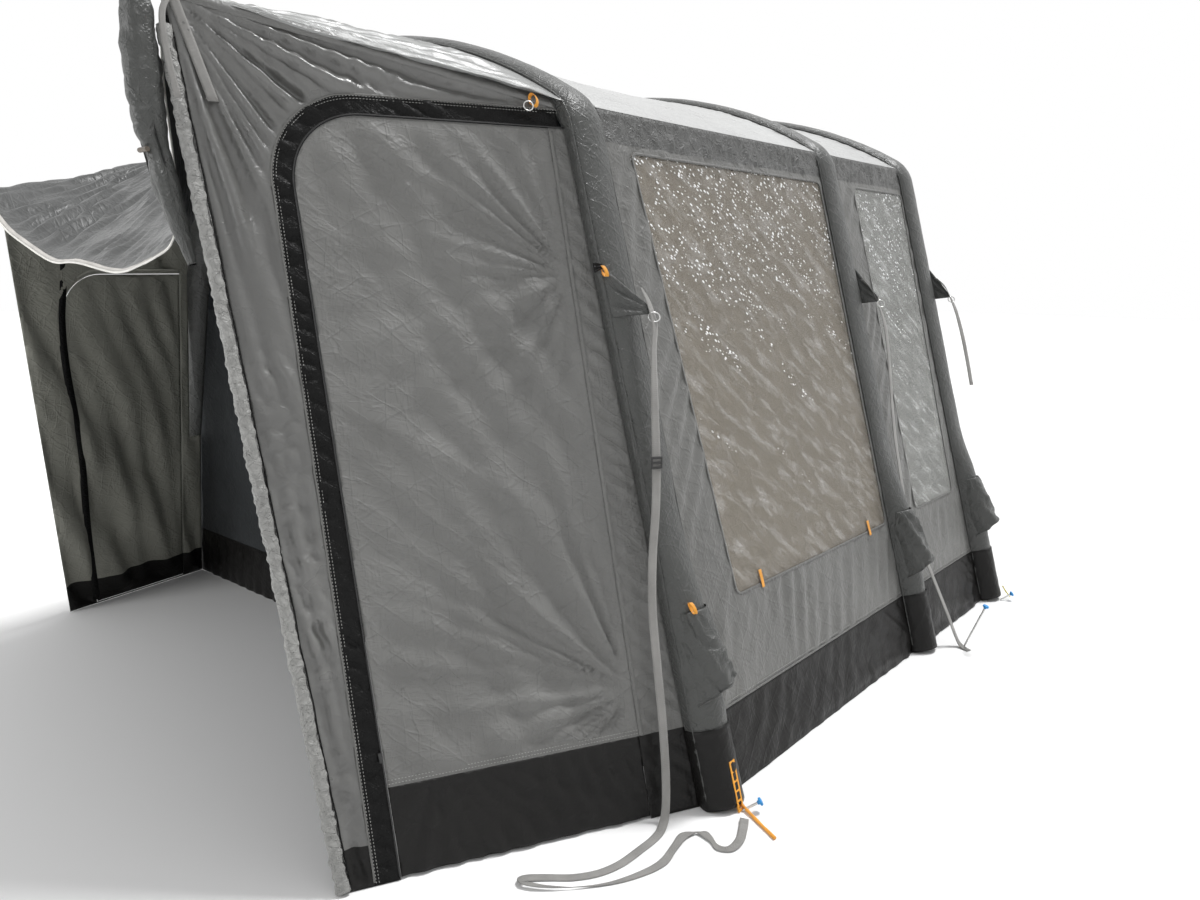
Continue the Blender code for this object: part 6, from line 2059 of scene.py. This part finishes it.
def lathe(name, profile, place, finish, nodes=(), steps=28):
    """A profile of radius and height, spun round its line."""
    bm = bmesh.new()
    verts = [bm.verts.new((radius, 0, height)) for radius, height in profile]
    for first, second in zip(verts, verts[1:]):
        bm.edges.new((first, second))
    spin_round(bm, steps)
    bmesh.ops.remove_doubles(bm, verts=bm.verts, dist=0.00001)
    bmesh.ops.recalc_face_normals(bm, faces=bm.faces)
    bmesh.ops.transform(bm, verts=bm.verts, matrix=place)
    piece = add_piece(name, bm, finish, "awning", nodes, thickness=0)
    piece.data.set_sharp_from_angle(angle=math.radians(40))
    return piece


def make_peg(node, foot, climb, length):
    place = Matrix.Translation(foot) @ climb.to_track_quat("Z", "Y").to_matrix().to_4x4()
    low = length - PEG_HEAD_THICKNESS
    head = [
        (0, length),
        (PEG_HEAD_RADIUS * 0.6, length - 0.2 * MM),
        (PEG_HEAD_RADIUS * 0.9, length - 1.2 * MM),
        (PEG_HEAD_RADIUS, length - 3 * MM),
        (PEG_HEAD_RADIUS, low + 2 * MM),
        (PEG_HEAD_RADIUS * 0.85, low + 0.6 * MM),
        (PEG_RADIUS * 1.9, low),
        (PEG_RADIUS * 1.6, low - 5 * MM),
        (PEG_RADIUS, low - 5.4 * MM),
    ]
    lathe(node + "_head", head, place, blue_plastic, [node])
    pin = [(PEG_RADIUS, low), (PEG_RADIUS, 1 * MM), (PEG_RADIUS * 0.7, 0), (0, 0)]
    lathe(node + "_pin", pin, place, steel, steps=20)


peg_lean = Vector((0.66, 0.56, 0.50)).normalized()
for name, side, arch, cover in (
    ("peg_rear_near", 1, "rear", 4.3 * MM),
    ("peg_front_near", 1, "front", 0),
    ("peg_rear_far", -1, "rear", 0),
    ("peg_front_far", -1, "front", 0),
):
    reach = (SLEEVE_RADIUS + cover + 1.7 * MM) / math.cos(LEAN_ANGLE)
    foot = Vector((side * (FOOT_X + reach), ARCH_Y[arch], PEG_RADIUS))
    make_peg(name, foot, Vector((side * peg_lean.x, peg_lean.y, peg_lean.z)), 62 * MM)
foot = Vector((FOOT_X + 0.133, ARCH_Y["middle"] + 126.5 * MM, PEG_RADIUS))
make_peg("peg_middle_near", foot, Vector((0.34, 0.06, 0.94)).normalized(), 0.20)

# %% [markdown]
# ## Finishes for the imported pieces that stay
# The rigid pieces keep their solids and get a finish each: the zips' sliders, the valves' caps, the ring,
# the toggle and the ladder strap.

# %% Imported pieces
KEPT = {
    "valve_cap_rear": black_plastic,
    "valve_cap_middle": black_plastic,
    "valve_cap_front": black_plastic,
    "near_zip_slider": black_plastic,
    "far_zip_slider": black_plastic,
    "front_zip_slider": black_plastic,
    "corner_ring": steel,
    "flap_toggle": brown_plastic,
    "ladder_strap": orange_rubber,
}
for node, finish in KEPT.items():
    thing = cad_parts[node]
    thing.data.materials.clear()
    thing.data.materials.append(finish)
print("kept", len(KEPT), "packed pieces")

# %% [markdown]
# ## Floor and light
# The floor is plain and pale and takes the shadow. To the camera, to glossy and to clear surfaces, the
# world is white, but what it sheds on the awning is less and comes mostly from above, so that cloth keeps
# its depth. A soft lamp high behind the awning grazes the near wall, which brings out its creases, and a
# weak one looks into the tunnel.

# %% Floor and light
FLOOR_SIZE = 60.0
FLOOR_DROP = 0.4 * MM
floor_mesh = bmesh.new()
bmesh.ops.create_grid(floor_mesh, x_segments=1, y_segments=1, size=FLOOR_SIZE / 2)
bmesh.ops.translate(floor_mesh, verts=floor_mesh.verts, vec=(0, 0, -FLOOR_DROP))
floor_data = bpy.data.meshes.new("floor")
floor_mesh.to_mesh(floor_data)
floor_mesh.free()
floor_finish, _, floor_shader = new_finish("floor_finish", (0.86, 0.86, 0.86), 0.9)
floor_shader.inputs["Specular IOR Level"].default_value = 0.1
floor_data.materials.append(floor_finish)
floor = bpy.data.objects.new("floor", floor_data)
bpy.context.scene.collection.objects.link(floor)
floor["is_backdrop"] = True

world = bpy.data.worlds.new("studio")
world.use_nodes = True
bpy.context.scene.world = world
tree = world.node_tree
background = tree.nodes["Background"]
background.inputs["Color"].default_value = (1, 1, 1, 1)
direction = tree.nodes.new("ShaderNodeTexCoord").outputs["Generated"]
toward = tree.nodes.new("ShaderNodeVectorMath")
toward.operation = "DOT_PRODUCT"
toward.inputs[1].default_value = (0.0, 0.3, 0.95)
tree.links.new(direction, toward.inputs[0])
strength = add_range(tree, toward.outputs["Value"], -0.2, 1.0, 0.25, 0.85)
path_node = tree.nodes.new("ShaderNodeLightPath")
for ray_kind in ("Is Camera Ray", "Is Glossy Ray", "Is Transmission Ray"):
    strength = add_math(tree, "MAXIMUM", strength, path_node.outputs[ray_kind])
tree.links.new(strength, background.inputs["Strength"])


def add_lamp(name, kind, place, aim, power):
    data = bpy.data.lights.new(name, kind)
    data.energy = power
    lamp = bpy.data.objects.new(name, data)
    place = Vector(place)
    turn = (Vector(aim) - place).to_track_quat("-Z", "Y")
    lamp.matrix_world = Matrix.Translation(place) @ turn.to_matrix().to_4x4()
    bpy.context.scene.collection.objects.link(lamp)
    return data


high_lamp = add_lamp("high_lamp", "SUN", (0.8, 2.4, 5.4), (0, 0, 0), 2.6)
high_lamp.angle = math.radians(12)
tunnel_fill = add_lamp("tunnel_fill", "AREA", (-1.8, -6.5, 2.6), (-0.8, -0.3, 1.0), 120)
tunnel_fill.shape = "DISK"
tunnel_fill.size = 3.0
bpy.context.scene.view_settings.view_transform = "Standard"

# %% [markdown]
# ## Size
# Last, the dressed awning's box is compared with the imported model's, and the difference is printed.

# %% Finish
low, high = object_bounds()
grown = [round((high[i] - low[i]) - (cad_high[i] - cad_low[i]), 4) for i in range(3)]
print("box grew by", grown, "m")
